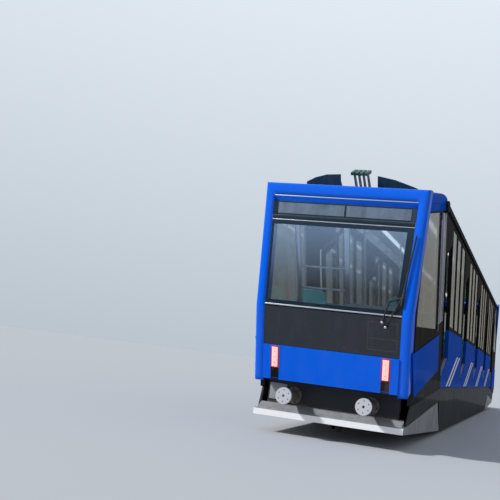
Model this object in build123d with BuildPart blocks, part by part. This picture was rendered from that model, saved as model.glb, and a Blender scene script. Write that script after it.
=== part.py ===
# Funicular car: a stepped cabin for a steep metre-gauge line, on two four-wheeled bogies.
# Frame: X runs up the track, Y to the right for someone looking down the track, Z square to the
# track. The wheels stand on Z = 0. Doors, windows, floors and the end faces stand plumb on the
# slope, so they are drawn in level coordinates: a is the level distance up the hill, b the height.
from build123d import *
from math import cos, radians, sin, tan
import os

# Slope and overall sizes, in millimetres
TILT = 26.5
BODY_HALF_WIDTH = 1020
WALL = 60
SILL_HEIGHT = 790
DECK_HEIGHT = 760
WINDOW_SILL = 1750
CANT_HEIGHT = 3400
CANT_DEPTH = 80
EAVE_HEIGHT = CANT_HEIGHT + CANT_DEPTH
ROOF_HEIGHT = 3610
ROOF_CAMBER = 45
HOOD_DEPTH = 150
PANEL_GAP = 4
SEAT_GAP = 0.3

# Doors: level pitch, width, height and slide
DOOR_COUNT = 5
DOOR_PITCH = 2800
FIRST_DOOR = 5000
DOOR_WIDTH = 780
DOOR_HEIGHT = 2000
LEAF_THICKNESS = 40
LEAF_LAP = 20
LEAF_GAP = 30
DOOR_TRAVEL = 760
LANDING_LENGTH = 1200
STEP_COUNT = 7
FLOOR_SHEET = 40

# Underframe, wheels and bogies
SOLEBAR_Y = 420
SOLEBAR_WIDTH = 120
SOLEBAR_DEPTH = 180
HEADSTOCK_DEPTH = 100
HEADSTOCK_WIDTH = 1760
HEADSTOCK_TOP = 700
SIDE_RAIL_HALF = 6150
BOGIE_X = 5600
WHEELBASE = 1300
TREAD_RADIUS = 230
FLANGE_RADIUS = 255
FLANGE_WIDTH = 28
AXLE_RADIUS = 45

# End faces: the foot of the arch lies this far along the track, at this height
FOOT_X = 9300
FOOT_Z = 650
SOLEBAR_SETBACK = 350
SOLEBAR_HALF = FOOT_X - SOLEBAR_SETBACK
ARCH_DEPTH = 220
ARCH_FACE = 125
ARCH_FLARE = 60
ARCH_CORNER = 120
ARCH_EDGE = 42
KNEE_RADIUS = 1200

# Skirt and apron
SKIRT_BOTTOM = 60
SKIRT_FOLD = 560
SKIRT_THICKNESS = 24
SKIRT_HALF_WIDTH = 1010
SKIRT_BREAK_X = 6200
APRON_BACK_X = 5740
LIP_SETBACK = 70
APRON_LIP_X = FOOT_X - LIP_SETBACK
APRON_LIP_TOP = 285
APRON_LIP_DEPTH = 75
APRON_SHEET = 30

COS = cos(radians(TILT))
SIN = sin(radians(TILT))
SLOPE = tan(radians(TILT))
INNER = BODY_HALF_WIDTH - WALL
LANDING_HEIGHT = ((SILL_HEIGHT + SEAT_GAP + (LANDING_LENGTH / 2 + FLOOR_SHEET) * SIN) / COS
                  + FLOOR_SHEET)


# Level coordinates of a point given along and square to the track, and the way back
def level(x, z):
    return (x * COS - z * SIN, x * SIN + z * COS)


def along(a, b):
    return (a * COS + b * SIN, b * COS - a * SIN)


# Height of the line that runs parallel to the track at z, above the level distance a
def rise(z, a):
    return z / COS + a * SLOPE


# Drawing planes: level coordinates on an upright plane at y, and track coordinates on the same
def plumb_plane(y=0):
    return Plane(origin=(0, y, 0), x_dir=(COS, 0, -SIN), z_dir=(0, -1, 0))


def track_plane(y=0):
    return Plane(origin=(0, y, 0), x_dir=(1, 0, 0), z_dir=(0, -1, 0))


# A closed outline drawn on a plane
def outline(plane, points):
    with BuildSketch(plane) as profile:
        Polygon(*points, align=None)
    return profile.sketch


# The same with the corners rounded
def rounded(plane, points, radius):
    with BuildSketch(plane) as profile:
        Polygon(*points, align=None)
        fillet(profile.vertices(), radius)
    return profile.sketch


# Corners of an upright rectangle given by two opposite corners
def oblong(low_a, low_b, high_a, high_b):
    return [(low_a, low_b), (high_a, low_b), (high_a, high_b), (low_a, high_b)]


# An upright plane square across the car at a level distance: y across, height up
def cross_plane(a=0):
    return Plane(origin=(a * COS, 0, -a * SIN), x_dir=(0, 1, 0), z_dir=(COS, 0, -SIN))


# A point in the frame, from level distance, y and level height
def spot(a, y, b):
    x, z = along(a, b)
    return Vector(x, y, z)


# A flat panel with its outer face at +y or -y, given by its outline in level coordinates
def plumb_slab(points, side, outer, thickness, mode=Mode.ADD):
    start = outer if side > 0 else -(outer - thickness)
    extrude(outline(plumb_plane(start), points), amount=thickness, mode=mode)


# A slab that crosses the car, as wide on both sides of the middle
def cross_slab(points, half_width, mode=Mode.ADD):
    extrude(outline(plumb_plane(0), points), amount=half_width, both=True, mode=mode)


# A round rod from one point to another
def rod(start, finish, radius):
    with BuildSketch(Plane(origin=start, z_dir=finish - start)) as ring:
        Circle(radius)
    extrude(ring.sketch, amount=(finish - start).length)


def save(piece, name):
    piece.part.label = name
    export_step(piece.part, "parts/" + name + ".step")


os.makedirs("parts", exist_ok=True)
SIDES = (("left", -1), ("right", 1))
ENDS = (("top", 1), ("bottom", -1))
DOORS = [FIRST_DOOR - number * DOOR_PITCH for number in range(DOOR_COUNT)]
HALF_DOOR = DOOR_WIDTH / 2


def landing(centre):
    return LANDING_HEIGHT + centre * SLOPE


# Cab lengths: from the last door post to the back of the arch
CAB_START = {1: DOORS[0] + HALF_DOOR + PANEL_GAP, -1: DOORS[-1] - HALF_DOOR - PANEL_GAP}

# End faces: heights above the foot, and how far the face has leaned in at each height
# name: knee rise, knee run, top rise, top run, nose top, dark screen top, windscreen top, strip top
FACE = {
    1: dict(knee=(170, 970), top=(850, 2410), nose=480, pane=1000, screen=1980, strip=2270),
    -1: dict(knee=(170, 1900), top=(800, 3715), nose=1200, pane=2000, screen=3200, strip=3500),
}
FOOT = {1: level(FOOT_X, FOOT_Z), -1: level(-FOOT_X, FOOT_Z)}


# Level distance of the end face at a height above its foot, moved in by a depth
def face_a(end, height, depth=0):
    knee_run, knee_rise = FACE[end]["knee"]
    top_run, top_rise = FACE[end]["top"]
    if height <= knee_rise:
        run = knee_run * height / knee_rise
    else:
        run = knee_run + (top_run - knee_run) * (height - knee_rise) / (top_rise - knee_rise)
    return FOOT[end][0] - end * (run + depth)


def face_point(end, height, depth=0):
    return (face_a(end, height, depth), FOOT[end][1] + height)


# A band that follows the end face between two heights, from one depth to another
def face_band(end, low, high, outer_depth, inner_depth):
    knee_rise = FACE[end]["knee"][1]
    heights = [low] + ([knee_rise] if low < knee_rise < high else []) + [high]
    outside = [face_point(end, h, outer_depth) for h in heights]
    inside = [face_point(end, h, inner_depth) for h in reversed(heights)]
    return outside + inside


# Width of the face opening and of the arch at a height
def arch_half_width(end, height):
    knee_rise = FACE[end]["knee"][1]
    top_rise = FACE[end]["top"][1]
    lean = max(0, height - knee_rise) / (top_rise - knee_rise)
    return BODY_HALF_WIDTH - 10 + ARCH_FLARE * lean


# Height of the apron's top plate at a distance along the track
SKIRT_INNER = SKIRT_HALF_WIDTH - SKIRT_THICKNESS
APRON_PLATE_X = SKIRT_BREAK_X + 50


def apron_top(x):
    fall = (SKIRT_FOLD - APRON_LIP_TOP) / (APRON_LIP_X - APRON_PLATE_X)
    return APRON_LIP_TOP + fall * (APRON_LIP_X - abs(x))


# Underframe: solebars, bolsters, cross-members with outriggers, side rails and headstocks, each a
# plain bar that meets its neighbours at a seam
BAR_Z = DECK_HEIGHT - SOLEBAR_DEPTH / 2
BAY_HALF = SOLEBAR_Y - SOLEBAR_WIDTH / 2 - SEAT_GAP
OUTRIGGER_START = SOLEBAR_Y + SOLEBAR_WIDTH / 2 + SEAT_GAP
CROSS_BAR_WIDTH = 90
BOLSTER_LENGTH = 700
SIDE_RAIL_Y = INNER - 20
SIDE_RAIL_WIDTH = 60
RAIL_UNDERSIDE = SILL_HEIGHT - SEAT_GAP - CROSS_BAR_WIDTH
# Where the cross-members lie, how deep they are and how far their outriggers reach
CROSS_BARS = [(x, 90, SKIRT_INNER - SEAT_GAP) for x in (-4700, -3600, -1800, 0, 1800, 3600, 4700)]
CROSS_BARS += [(x, 60, INNER - 10) for x in (-8300, -7000, 7000, 8300)]
ON_TOP = (Align.CENTER, Align.CENTER, Align.MAX)
with BuildPart() as underframe:
    with Locations((0, SOLEBAR_Y, BAR_Z), (0, -SOLEBAR_Y, BAR_Z)):
        Box(2 * SOLEBAR_HALF, SOLEBAR_WIDTH, SOLEBAR_DEPTH)
    with Locations((BOGIE_X, 0, BAR_Z), (-BOGIE_X, 0, BAR_Z)):
        Box(BOLSTER_LENGTH, 2 * BAY_HALF, SOLEBAR_DEPTH)
    for x, depth, reach in CROSS_BARS:
        with Locations((x, 0, DECK_HEIGHT)):
            Box(CROSS_BAR_WIDTH, 2 * BAY_HALF, depth, align=ON_TOP)
        top = RAIL_UNDERSIDE - SEAT_GAP if abs(x) < SIDE_RAIL_HALF else DECK_HEIGHT
        length = reach - OUTRIGGER_START
        for side in (1, -1):
            with Locations((x, side * (OUTRIGGER_START + length / 2), top)):
                Box(CROSS_BAR_WIDTH, length, depth, align=ON_TOP)
    with Locations((0, SIDE_RAIL_Y, SILL_HEIGHT - SEAT_GAP), (0, -SIDE_RAIL_Y, SILL_HEIGHT - SEAT_GAP)):
        Box(2 * SIDE_RAIL_HALF, SIDE_RAIL_WIDTH, CROSS_BAR_WIDTH, align=ON_TOP)
    low = apron_top(SOLEBAR_HALF) + SEAT_GAP
    for end in (1, -1):
        with Locations((end * (SOLEBAR_HALF + SEAT_GAP + HEADSTOCK_DEPTH / 2), 0, HEADSTOCK_TOP)):
            Box(HEADSTOCK_DEPTH, HEADSTOCK_WIDTH, HEADSTOCK_TOP - low, align=ON_TOP)
save(underframe, "underframe")

# Stepped floor: a landing at every door, a flight between each two, and a platform in each cab
FLIGHT_RISE = DOOR_PITCH * SLOPE
RISER_SHEET = 20
CAB_FLIGHT = {1: dict(steps=6, going=220, rise=190), -1: dict(steps=3, going=230, rise=191)}
FLOOR_HALF = INNER - SEAT_GAP
step_going = (DOOR_PITCH - LANDING_LENGTH) / (STEP_COUNT - 1)
step_rise = FLIGHT_RISE / STEP_COUNT
PLATFORM = {1: landing(DOORS[0]) + CAB_FLIGHT[1]["steps"] * CAB_FLIGHT[1]["rise"],
            -1: landing(DOORS[-1]) - CAB_FLIGHT[-1]["steps"] * CAB_FLIGHT[-1]["rise"]}
PLATFORM_END = {1: 7700, -1: -8270}


def tread(low_a, high_a, top_b):
    cross_slab(oblong(low_a, top_b - FLOOR_SHEET, high_a - SEAT_GAP, top_b), FLOOR_HALF)


# A flight: risers that stand behind one tread and under the next
def flight(start_a, start_b, steps, going, rise_each):
    for step in range(steps):
        a = start_a + step * going
        low = start_b + step * rise_each - FLOOR_SHEET
        cross_slab(oblong(a, low, a + RISER_SHEET, low + rise_each - SEAT_GAP), FLOOR_HALF)
        if step < steps - 1:
            tread(a, a + going, start_b + (step + 1) * rise_each)


with BuildPart() as floor_stairs:
    for centre in DOORS:
        tread(centre - LANDING_LENGTH / 2, centre + LANDING_LENGTH / 2, landing(centre))
    for centre in DOORS[1:]:
        flight(centre + LANDING_LENGTH / 2, landing(centre), STEP_COUNT, step_going, step_rise)
    top_flight, low_flight = CAB_FLIGHT[1], CAB_FLIGHT[-1]
    top_start = DOORS[0] + LANDING_LENGTH / 2
    flight(top_start, landing(DOORS[0]), top_flight["steps"], top_flight["going"], top_flight["rise"])
    tread(top_start + (top_flight["steps"] - 1) * top_flight["going"], PLATFORM_END[1], PLATFORM[1])
    low_start = DOORS[-1] - LANDING_LENGTH / 2 - (low_flight["steps"] - 1) * low_flight["going"]
    flight(low_start, PLATFORM[-1], low_flight["steps"], low_flight["going"], low_flight["rise"])
    tread(PLATFORM_END[-1], low_start, PLATFORM[-1])
save(floor_stairs, "floor_stairs")


# Panes of one window bay: three upright panes under the cant rail
BAY_PANES = 3
MULLION = 70
WINDOW_TOP = CANT_HEIGHT - 70


def bay_windows(low_a, high_a):
    width = (high_a - low_a - (BAY_PANES + 1) * MULLION) / BAY_PANES
    panes = []
    for number in range(BAY_PANES):
        start = low_a + MULLION + number * (width + MULLION)
        end = start + width
        panes.append((start, end))
    return panes


def band(low_a, high_a, low_z, high_z):
    return [(low_a, rise(low_z, low_a)), (high_a, rise(low_z, high_a)),
            (high_a, rise(high_z, high_a)), (low_a, rise(high_z, low_a))]


BAYS = [(DOORS[n + 1] + HALF_DOOR, DOORS[n] - HALF_DOOR) for n in range(DOOR_COUNT - 1)]
GLASS = 14
GLASS_FIT = 0.5
GLASS_OUTER = BODY_HALF_WIDTH - 12


def door_transom(centre, inset=0):
    low_a = centre - HALF_DOOR + PANEL_GAP + inset
    high_a = centre + HALF_DOOR - PANEL_GAP - inset
    head = landing(centre) + DOOR_HEIGHT + inset
    roof_z = CANT_HEIGHT - inset
    return [(low_a, head), (high_a, head), (high_a, rise(roof_z, high_a)), (low_a, rise(roof_z, low_a))]


# Lower walls: a panel under each window bay and a sill under each door
with BuildPart() as lower_walls:
    for side_name, side in SIDES:
        for low_a, high_a in BAYS:
            plumb_slab(band(low_a, high_a, SILL_HEIGHT, WINDOW_SILL - PANEL_GAP),
                       side, BODY_HALF_WIDTH, WALL)
        for centre in DOORS:
            low_a = centre - HALF_DOOR + PANEL_GAP
            high_a = centre + HALF_DOOR - PANEL_GAP
            plumb_slab([(low_a, rise(SILL_HEIGHT, low_a)), (high_a, rise(SILL_HEIGHT, high_a)),
                        (high_a, landing(centre)), (low_a, landing(centre))],
                       side, BODY_HALF_WIDTH, WALL)
save(lower_walls, "lower_walls")

# Window frames: one ladder of mullions for each bay, and a transom over each door
with BuildPart() as window_frames:
    for side_name, side in SIDES:
        for low_a, high_a in BAYS:
            plumb_slab(band(low_a, high_a, WINDOW_SILL, CANT_HEIGHT), side, BODY_HALF_WIDTH, WALL)
            for start, end in bay_windows(low_a, high_a):
                plumb_slab(band(start, end, WINDOW_SILL + 60, WINDOW_TOP), side, BODY_HALF_WIDTH, WALL,
                           Mode.SUBTRACT)
        for centre in DOORS:
            plumb_slab(door_transom(centre), side, BODY_HALF_WIDTH, WALL)
save(window_frames, "window_frames")

with BuildPart() as window_glass:
    for side_name, side in SIDES:
        for low_a, high_a in BAYS:
            for start, end in bay_windows(low_a, high_a):
                plumb_slab(band(start + GLASS_FIT, end - GLASS_FIT, WINDOW_SILL + 60 + GLASS_FIT,
                                WINDOW_TOP - GLASS_FIT), side, GLASS_OUTER, GLASS)
save(window_glass, "window_glass")

# Door leaves: each hangs inside the wall line and slides level, down the hill
LEAF_OUTER = INNER - LEAF_GAP
LEAF_HALF = HALF_DOOR + LEAF_LAP
LEAF_FOOT = 10
LEAF_RAIL = 90
LEAF_PANE_SILL = 620
SHOE_HEIGHT = 12
for side_name, side in SIDES:
    for number, centre in enumerate(DOORS, start=1):
        foot = landing(centre) + LEAF_FOOT
        head = landing(centre) + DOOR_HEIGHT - 20
        pane = [(centre - LEAF_HALF + LEAF_RAIL, foot + LEAF_PANE_SILL),
                (centre + LEAF_HALF - LEAF_RAIL, foot + LEAF_PANE_SILL),
                (centre + LEAF_HALF - LEAF_RAIL, head - LEAF_RAIL),
                (centre - LEAF_HALF + LEAF_RAIL, head - LEAF_RAIL)]
        with BuildPart() as leaf:
            plumb_slab([(centre - LEAF_HALF, foot), (centre + LEAF_HALF, foot),
                        (centre + LEAF_HALF, head), (centre - LEAF_HALF, head)],
                       side, LEAF_OUTER, LEAF_THICKNESS)
            for shoe in (centre - LEAF_HALF + 90, centre + LEAF_HALF - 90):
                plumb_slab([(shoe - 35, head), (shoe + 35, head), (shoe + 35, head + SHOE_HEIGHT),
                            (shoe - 35, head + SHOE_HEIGHT)], side, LEAF_OUTER, LEAF_THICKNESS)
            plumb_slab(pane, side, LEAF_OUTER, LEAF_THICKNESS, Mode.SUBTRACT)
        save(leaf, "door_%s_%d" % (side_name, number))
        fit = GLASS_FIT
        inset = (LEAF_THICKNESS - GLASS) / 2
        with BuildPart() as leaf_glass:
            plumb_slab([(pane[0][0] + fit, pane[0][1] + fit), (pane[1][0] - fit, pane[1][1] + fit),
                        (pane[2][0] - fit, pane[2][1] - fit), (pane[3][0] + fit, pane[3][1] - fit)],
                       side, LEAF_OUTER - inset, GLASS)
        save(leaf_glass, "door_glass_%s_%d" % (side_name, number))

# Door runners: a level rail over each leaf, fixed to the inside of the wall
with BuildPart() as door_runners:
    for side_name, side in SIDES:
        for centre in DOORS:
            low = landing(centre) + DOOR_HEIGHT - 20 + SHOE_HEIGHT + 2 * SEAT_GAP
            start = centre - LEAF_HALF - DOOR_TRAVEL
            plumb_slab([(start, low), (centre + LEAF_HALF, low), (centre + LEAF_HALF, low + 45),
                        (start, low + 45)], side, INNER - SEAT_GAP,
                       LEAF_GAP + LEAF_THICKNESS)
save(door_runners, "door_runners")

# Where the long roof pieces stop, as level distances: at the hood, and behind the bottom arch
ROOF_END = {1: CAB_START[1] - PANEL_GAP,
            -1: face_a(-1, FACE[-1]["top"][1], ARCH_DEPTH) + PANEL_GAP}
FAR = 12000
ROOF_SPAN = oblong(ROOF_END[-1], -FAR, ROOF_END[1], FAR)
LONG = 20000


# A long piece drawn square to the track and trimmed plumb at both ends
def trim_plumb(points):
    cross_slab(points, 2 * BODY_HALF_WIDTH, Mode.INTERSECT)


# Cant rails with their gutters, along the top of both walls
GUTTER_OUT = 25
with BuildPart() as cant_rails:
    for side_name, side in SIDES:
        with BuildSketch(Plane.YZ.offset(-LONG / 2)):
            Polygon((side * INNER, CANT_HEIGHT + SEAT_GAP),
                    (side * (BODY_HALF_WIDTH + GUTTER_OUT), CANT_HEIGHT + SEAT_GAP),
                    (side * (BODY_HALF_WIDTH + GUTTER_OUT), EAVE_HEIGHT),
                    (side * INNER, EAVE_HEIGHT), align=None)
        extrude(amount=LONG)
    trim_plumb(ROOF_SPAN)
save(cant_rails, "cant_rails")

# Roof: a cambered middle deck, and a curved glass eave on each side
DECK_HALF_WIDTH = 760
DECK_EDGE = ROOF_HEIGHT - ROOF_CAMBER
ROOF_SHEET = 40
with BuildPart() as roof_deck:
    with BuildSketch(Plane.YZ.offset(-LONG / 2)):
        with BuildLine():
            ThreePointArc((-DECK_HALF_WIDTH, DECK_EDGE), (0, ROOF_HEIGHT), (DECK_HALF_WIDTH, DECK_EDGE))
            Line((DECK_HALF_WIDTH, DECK_EDGE), (DECK_HALF_WIDTH, DECK_EDGE - ROOF_SHEET))
            ThreePointArc((DECK_HALF_WIDTH, DECK_EDGE - ROOF_SHEET), (0, ROOF_HEIGHT - ROOF_SHEET),
                          (-DECK_HALF_WIDTH, DECK_EDGE - ROOF_SHEET))
            Line((-DECK_HALF_WIDTH, DECK_EDGE - ROOF_SHEET), (-DECK_HALF_WIDTH, DECK_EDGE))
        make_face()
    extrude(amount=LONG)
    trim_plumb(ROOF_SPAN)
save(roof_deck, "roof_deck")

EAVE_SHEET = 30
EAVE_TANGENT = (1, -2 * ROOF_CAMBER / DECK_HALF_WIDTH)
with BuildPart() as eave_glass:
    for side_name, side in SIDES:
        with BuildSketch(Plane.YZ.offset(-LONG / 2)):
            with BuildLine():
                low_out = (side * (BODY_HALF_WIDTH - 5), EAVE_HEIGHT + SEAT_GAP)
                high_out = (side * (DECK_HALF_WIDTH + SEAT_GAP), DECK_EDGE)
                low_in = (side * (BODY_HALF_WIDTH - 5 - EAVE_SHEET), EAVE_HEIGHT + SEAT_GAP)
                high_in = (side * (DECK_HALF_WIDTH + SEAT_GAP), DECK_EDGE - EAVE_SHEET)
                tangent = (side * EAVE_TANGENT[0], EAVE_TANGENT[1])
                TangentArc(high_out, low_out, tangent=tangent)
                Line(low_out, low_in)
                TangentArc(high_in, low_in, tangent=tangent)
                Line(high_in, high_out)
            make_face()
        extrude(amount=LONG)
    trim_plumb(ROOF_SPAN)
save(eave_glass, "eave_glass")

# End arches: the broad frame round each end face, open at the foot, with rounded outer edges.
# The header's top falls away behind its front edge by this much
HEADER_FALL = {1: 55, -1: -ARCH_DEPTH * SLOPE}
KNEE_TOLERANCE = 20


# The upper back corner of the header
def header_back(end):
    return face_point(end, FACE[end]["top"][1] - HEADER_FALL[end], ARCH_DEPTH)


# One profile of the arch or its opening, across the car
def arch_profile(end, heights, inset):
    base = FOOT[end][1]
    half = [(arch_half_width(end, h) - inset, base + h) for h in heights]
    return half + [(-y, b) for y, b in reversed(half)]


# True for an edge that runs along the outer rim of the arch's front face
def on_front_rim(edge, end):
    middle = edge.position_at(0.5)
    a, b = level(middle.X, middle.Z)
    height = b - FOOT[end][1]
    if height < 5 or abs(a - face_a(end, height)) > KNEE_TOLERANCE:
        return False
    at_side = abs(middle.Y) > arch_half_width(end, height) - ARCH_CORNER / 2
    at_top = height > FACE[end]["top"][1] - ARCH_CORNER
    return at_side or at_top


def end_arch(end):
    knee_rise = FACE[end]["knee"][1]
    top_rise = FACE[end]["top"][1]
    strip = FACE[end]["strip"]
    band_points = face_band(end, 0, top_rise, 0, ARCH_DEPTH)
    band_points[3] = header_back(end)
    knee = spot(face_a(end, knee_rise), 0, FOOT[end][1] + knee_rise)
    with BuildSketch(plumb_plane(0)) as side_profile:
        Polygon(*band_points, align=None)
        at_knee = [corner for corner in side_profile.vertices() if (corner.center() - knee).length < 1]
        fillet(at_knee, KNEE_RADIUS)
    with BuildSketch(cross_plane()) as front_profile:
        Polygon(*arch_profile(end, (0, knee_rise, top_rise), 0), align=None)
        corners = [corner for corner in front_profile.vertices()
                   if abs(level(corner.X, corner.Z)[1] - FOOT[end][1] - top_rise) < 1]
        fillet(corners, ARCH_CORNER)
    with BuildPart() as arch:
        extrude(side_profile.sketch, amount=BODY_HALF_WIDTH + ARCH_FLARE, both=True)
        extrude(front_profile.sketch, amount=LONG, both=True, mode=Mode.INTERSECT)
        fillet([edge for edge in arch.edges() if on_front_rim(edge, end)], ARCH_EDGE)
        opening = arch_profile(end, (0, knee_rise, strip), ARCH_FACE)
        opening[0] = (opening[0][0], opening[0][1] - 10)
        opening[-1] = (opening[-1][0], opening[-1][1] - 10)
        extrude(outline(cross_plane(), opening), amount=LONG, both=True, mode=Mode.SUBTRACT)
    return arch.part


arches = [end_arch(end) for end_name, end in ENDS]
with BuildPart() as end_arches:
    add(arches)
save(end_arches, "end_arches")


# Hood over the top cab: one straight fall from behind the header to the start of the roof
HOOD_SKIN = 50
HOOD_CORNER = 110
HOOD_BACK = (CAB_START[1], rise(ROOF_HEIGHT, CAB_START[1]))
HOOD_FRONT = header_back(1)
HOOD_SLOPE = (HOOD_FRONT[1] - HOOD_BACK[1]) / (HOOD_FRONT[0] - HOOD_BACK[0])
HOOD_STRETCH = (1 + HOOD_SLOPE ** 2) ** 0.5


def hood_top(a):
    return HOOD_BACK[1] + HOOD_SLOPE * (a - HOOD_BACK[0])


def hood_eave(a):
    return hood_top(a) - HOOD_DEPTH * HOOD_STRETCH


# Where the hood's lower edge meets the back of the arch, drawn in by a depth from the face
def hood_corner(depth):
    knee_run, knee_rise = FACE[1]["knee"]
    top_run, top_rise = FACE[1]["top"]
    lean = (top_run - knee_run) / (top_rise - knee_rise)
    start_a = face_a(1, knee_rise, depth) + lean * knee_rise
    height = (hood_eave(start_a) - FOOT[1][1]) / (1 + HOOD_SLOPE * lean)
    return face_point(1, height, depth)


# Foot line of the cab walls: it falls towards the end face, above the skirt
CAB_FALL = 230 / 2800


def cab_foot(end, a, gap=0):
    top_z = SILL_HEIGHT + gap + SKIRT_BREAK_X * CAB_FALL
    x = (a + top_z * SIN) / (COS + end * CAB_FALL * SIN)
    if abs(x) <= SKIRT_BREAK_X:
        return a, rise(SILL_HEIGHT + gap, a)
    return level(x, top_z - CAB_FALL * abs(x))


# Cab walls: plumb panels from the last door post to the arch, with a raked window
def cab_wall_outline(end):
    back = ARCH_DEPTH + SEAT_GAP
    knee_rise = FACE[end]["knee"][1]
    top_rise = FACE[end]["top"][1]
    start = CAB_START[end]
    foot_a = face_a(end, 0, back)
    points = [cab_foot(end, start), cab_foot(end, foot_a), face_point(end, knee_rise, back)]
    if end > 0:
        return points + [hood_corner(back), (start, hood_eave(start))]
    corner_a = face_a(end, top_rise, back)
    return points + [(corner_a, rise(CANT_HEIGHT, corner_a)), (start, rise(CANT_HEIGHT, start))]


# Cab windows: two corners near the door post, then corners along the end face. Distance from the
# post or behind the face, height over the face's foot
CAB_WINDOW_POINTS = {
    1: (((556, 79), (556, 1839)), ((285, 789), (293, 969), (309, 2079))),
    -1: (((456, 2268), (456, 3688)), ((323, 1788), (270, 3378))),
}
CAB_WINDOW = {}
for end, (post_points, face_points) in CAB_WINDOW_POINTS.items():
    post_low, post_high = [(CAB_START[end] + end * run, FOOT[end][1] + height) for run, height in post_points]
    along_face = [face_point(end, height, depth) for depth, height in face_points]
    CAB_WINDOW[end] = [post_low, *along_face, post_high]
with BuildPart() as cab_walls:
    for end_name, end in ENDS:
        for side_name, side in SIDES:
            plumb_slab(cab_wall_outline(end), side, BODY_HALF_WIDTH, WALL)
            plumb_slab(CAB_WINDOW[end], side, BODY_HALF_WIDTH, WALL, Mode.SUBTRACT)
save(cab_walls, "cab_walls")

with BuildPart() as cab_glass:
    for end_name, end in ENDS:
        for side_name, side in SIDES:
            start = (GLASS_OUTER if side > 0 else -GLASS_OUTER + GLASS)
            with BuildSketch(plumb_plane(start)) as pane:
                Polygon(*CAB_WINDOW[end], align=None)
                offset(amount=-GLASS_FIT, kind=Kind.INTERSECTION)
            extrude(pane.sketch, amount=GLASS)
save(cab_glass, "cab_glass")

# Blue cladding panels low on the cab walls
CLADDING = 14
CAB_CLADDING = {
    1: [(5780, 4060), (7780, 4620), (7990, 5300), (5780, 4650)],
    -1: [(-6900, -2600), (-8400, -3420), (-8300, -2560), (-6900, -1900)],
}
with BuildPart() as cab_cladding:
    for end_name, end in ENDS:
        for side_name, side in SIDES:
            plumb_slab(CAB_CLADDING[end], side, BODY_HALF_WIDTH + SEAT_GAP + CLADDING, CLADDING)
save(cab_cladding, "cab_cladding")

with BuildPart() as cab_hood:
    x, z = along(*HOOD_BACK)
    fall_x, fall_z = along(1, HOOD_SLOPE)
    section = Plane(origin=(x, 0, z), x_dir=(0, 1, 0), z_dir=(fall_x, 0, fall_z)).offset(-LONG / 10)
    extrude(rounded(section, oblong(-BODY_HALF_WIDTH, -2 * HOOD_DEPTH, BODY_HALF_WIDTH, 0), HOOD_CORNER),
            amount=LONG / 4)
    extrude(rounded(section, oblong(-INNER, -3 * HOOD_DEPTH, INNER, -HOOD_SKIN), HOOD_CORNER - HOOD_SKIN),
            amount=LONG / 4, mode=Mode.SUBTRACT)
    low_corner = hood_corner(ARCH_DEPTH + SEAT_GAP)
    high_corner = face_point(1, FACE[1]["top"][1] + HOOD_DEPTH, ARCH_DEPTH + SEAT_GAP)
    cross_slab([(HOOD_BACK[0], hood_eave(HOOD_BACK[0]) + SEAT_GAP), (low_corner[0], low_corner[1] + SEAT_GAP),
                high_corner, (HOOD_BACK[0], high_corner[1])], 2 * BODY_HALF_WIDTH, Mode.INTERSECT)
save(cab_hood, "cab_hood")

# Black end caps where the eaves start behind the hood
EAVE_CAP_LENGTH = 175
EAVE_CAP_OUT = 42
with BuildPart() as eave_caps:
    for side in (1, -1):
        start = BODY_HALF_WIDTH + SEAT_GAP + (EAVE_CAP_OUT if side > 0 else 0)
        extrude(rounded(plumb_plane(side * start), band(CAB_START[1], CAB_START[1] + EAVE_CAP_LENGTH,
                                                        CANT_HEIGHT - 60, EAVE_HEIGHT + 10), 55),
                amount=EAVE_CAP_OUT)
save(eave_caps, "eave_caps")


# A sheet that follows the end face between two heights, as wide as the opening less a margin
def face_sheet(end, low, high, depth, thickness, margin, half_width=None):
    knee_rise = FACE[end]["knee"][1]
    base = FOOT[end][1]
    heights = [low] + ([knee_rise] if low < knee_rise < high else []) + [high]
    if half_width is None:
        edge = arch_profile(end, heights, ARCH_FACE + margin)
    else:
        edge = [(half_width, base + h) for h in heights]
        edge += [(-half_width, base + h) for h in reversed(heights)]
    with BuildPart() as sheet:
        cross_slab(face_band(end, low, high, depth, depth + thickness), BODY_HALF_WIDTH)
        extrude(outline(cross_plane(), edge), amount=LONG, both=True, mode=Mode.INTERSECT)
    return sheet.part


SHEET_GAP = 3
SCREEN = 16
STRIP_BAR = 50
STRIP_DEPTH = 45
# What closes each end face, from the foot up: name, low edge, high edge, depth, thickness
FACE_SHEETS = (
    ("nose_panels", None, "nose", -12, 40),
    ("lower_screens", "nose", "pane", 6, SCREEN),
    ("windscreens", "pane", "screen", 0, SCREEN),
    ("top_strips", "screen", "strip", STRIP_DEPTH, SCREEN),
)
NOSE_FOOT = 40
LAMP_SLOT = dict(inner=665, outer=780, low=60, high=430)
LAMP_LIFT = {1: 0, -1: FACE[-1]["nose"] - FACE[1]["nose"]}
LAMP_DEPTH = 60


# A pair of blocks in the lamp slots, larger than them by a margin or smaller by a negative one
def lamp_blocks(end, margin, depth, thickness):
    low = LAMP_SLOT["low"] + LAMP_LIFT[end] - margin
    high = LAMP_SLOT["high"] + LAMP_LIFT[end] + margin
    blocks = face_sheet(end, low, high, depth, thickness, 0, half_width=LAMP_SLOT["outer"] + margin)
    middle = face_sheet(end, 0, FACE[end]["nose"], depth - 20, thickness + 40, 0,
                        half_width=LAMP_SLOT["inner"] - margin)
    return blocks - middle


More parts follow.
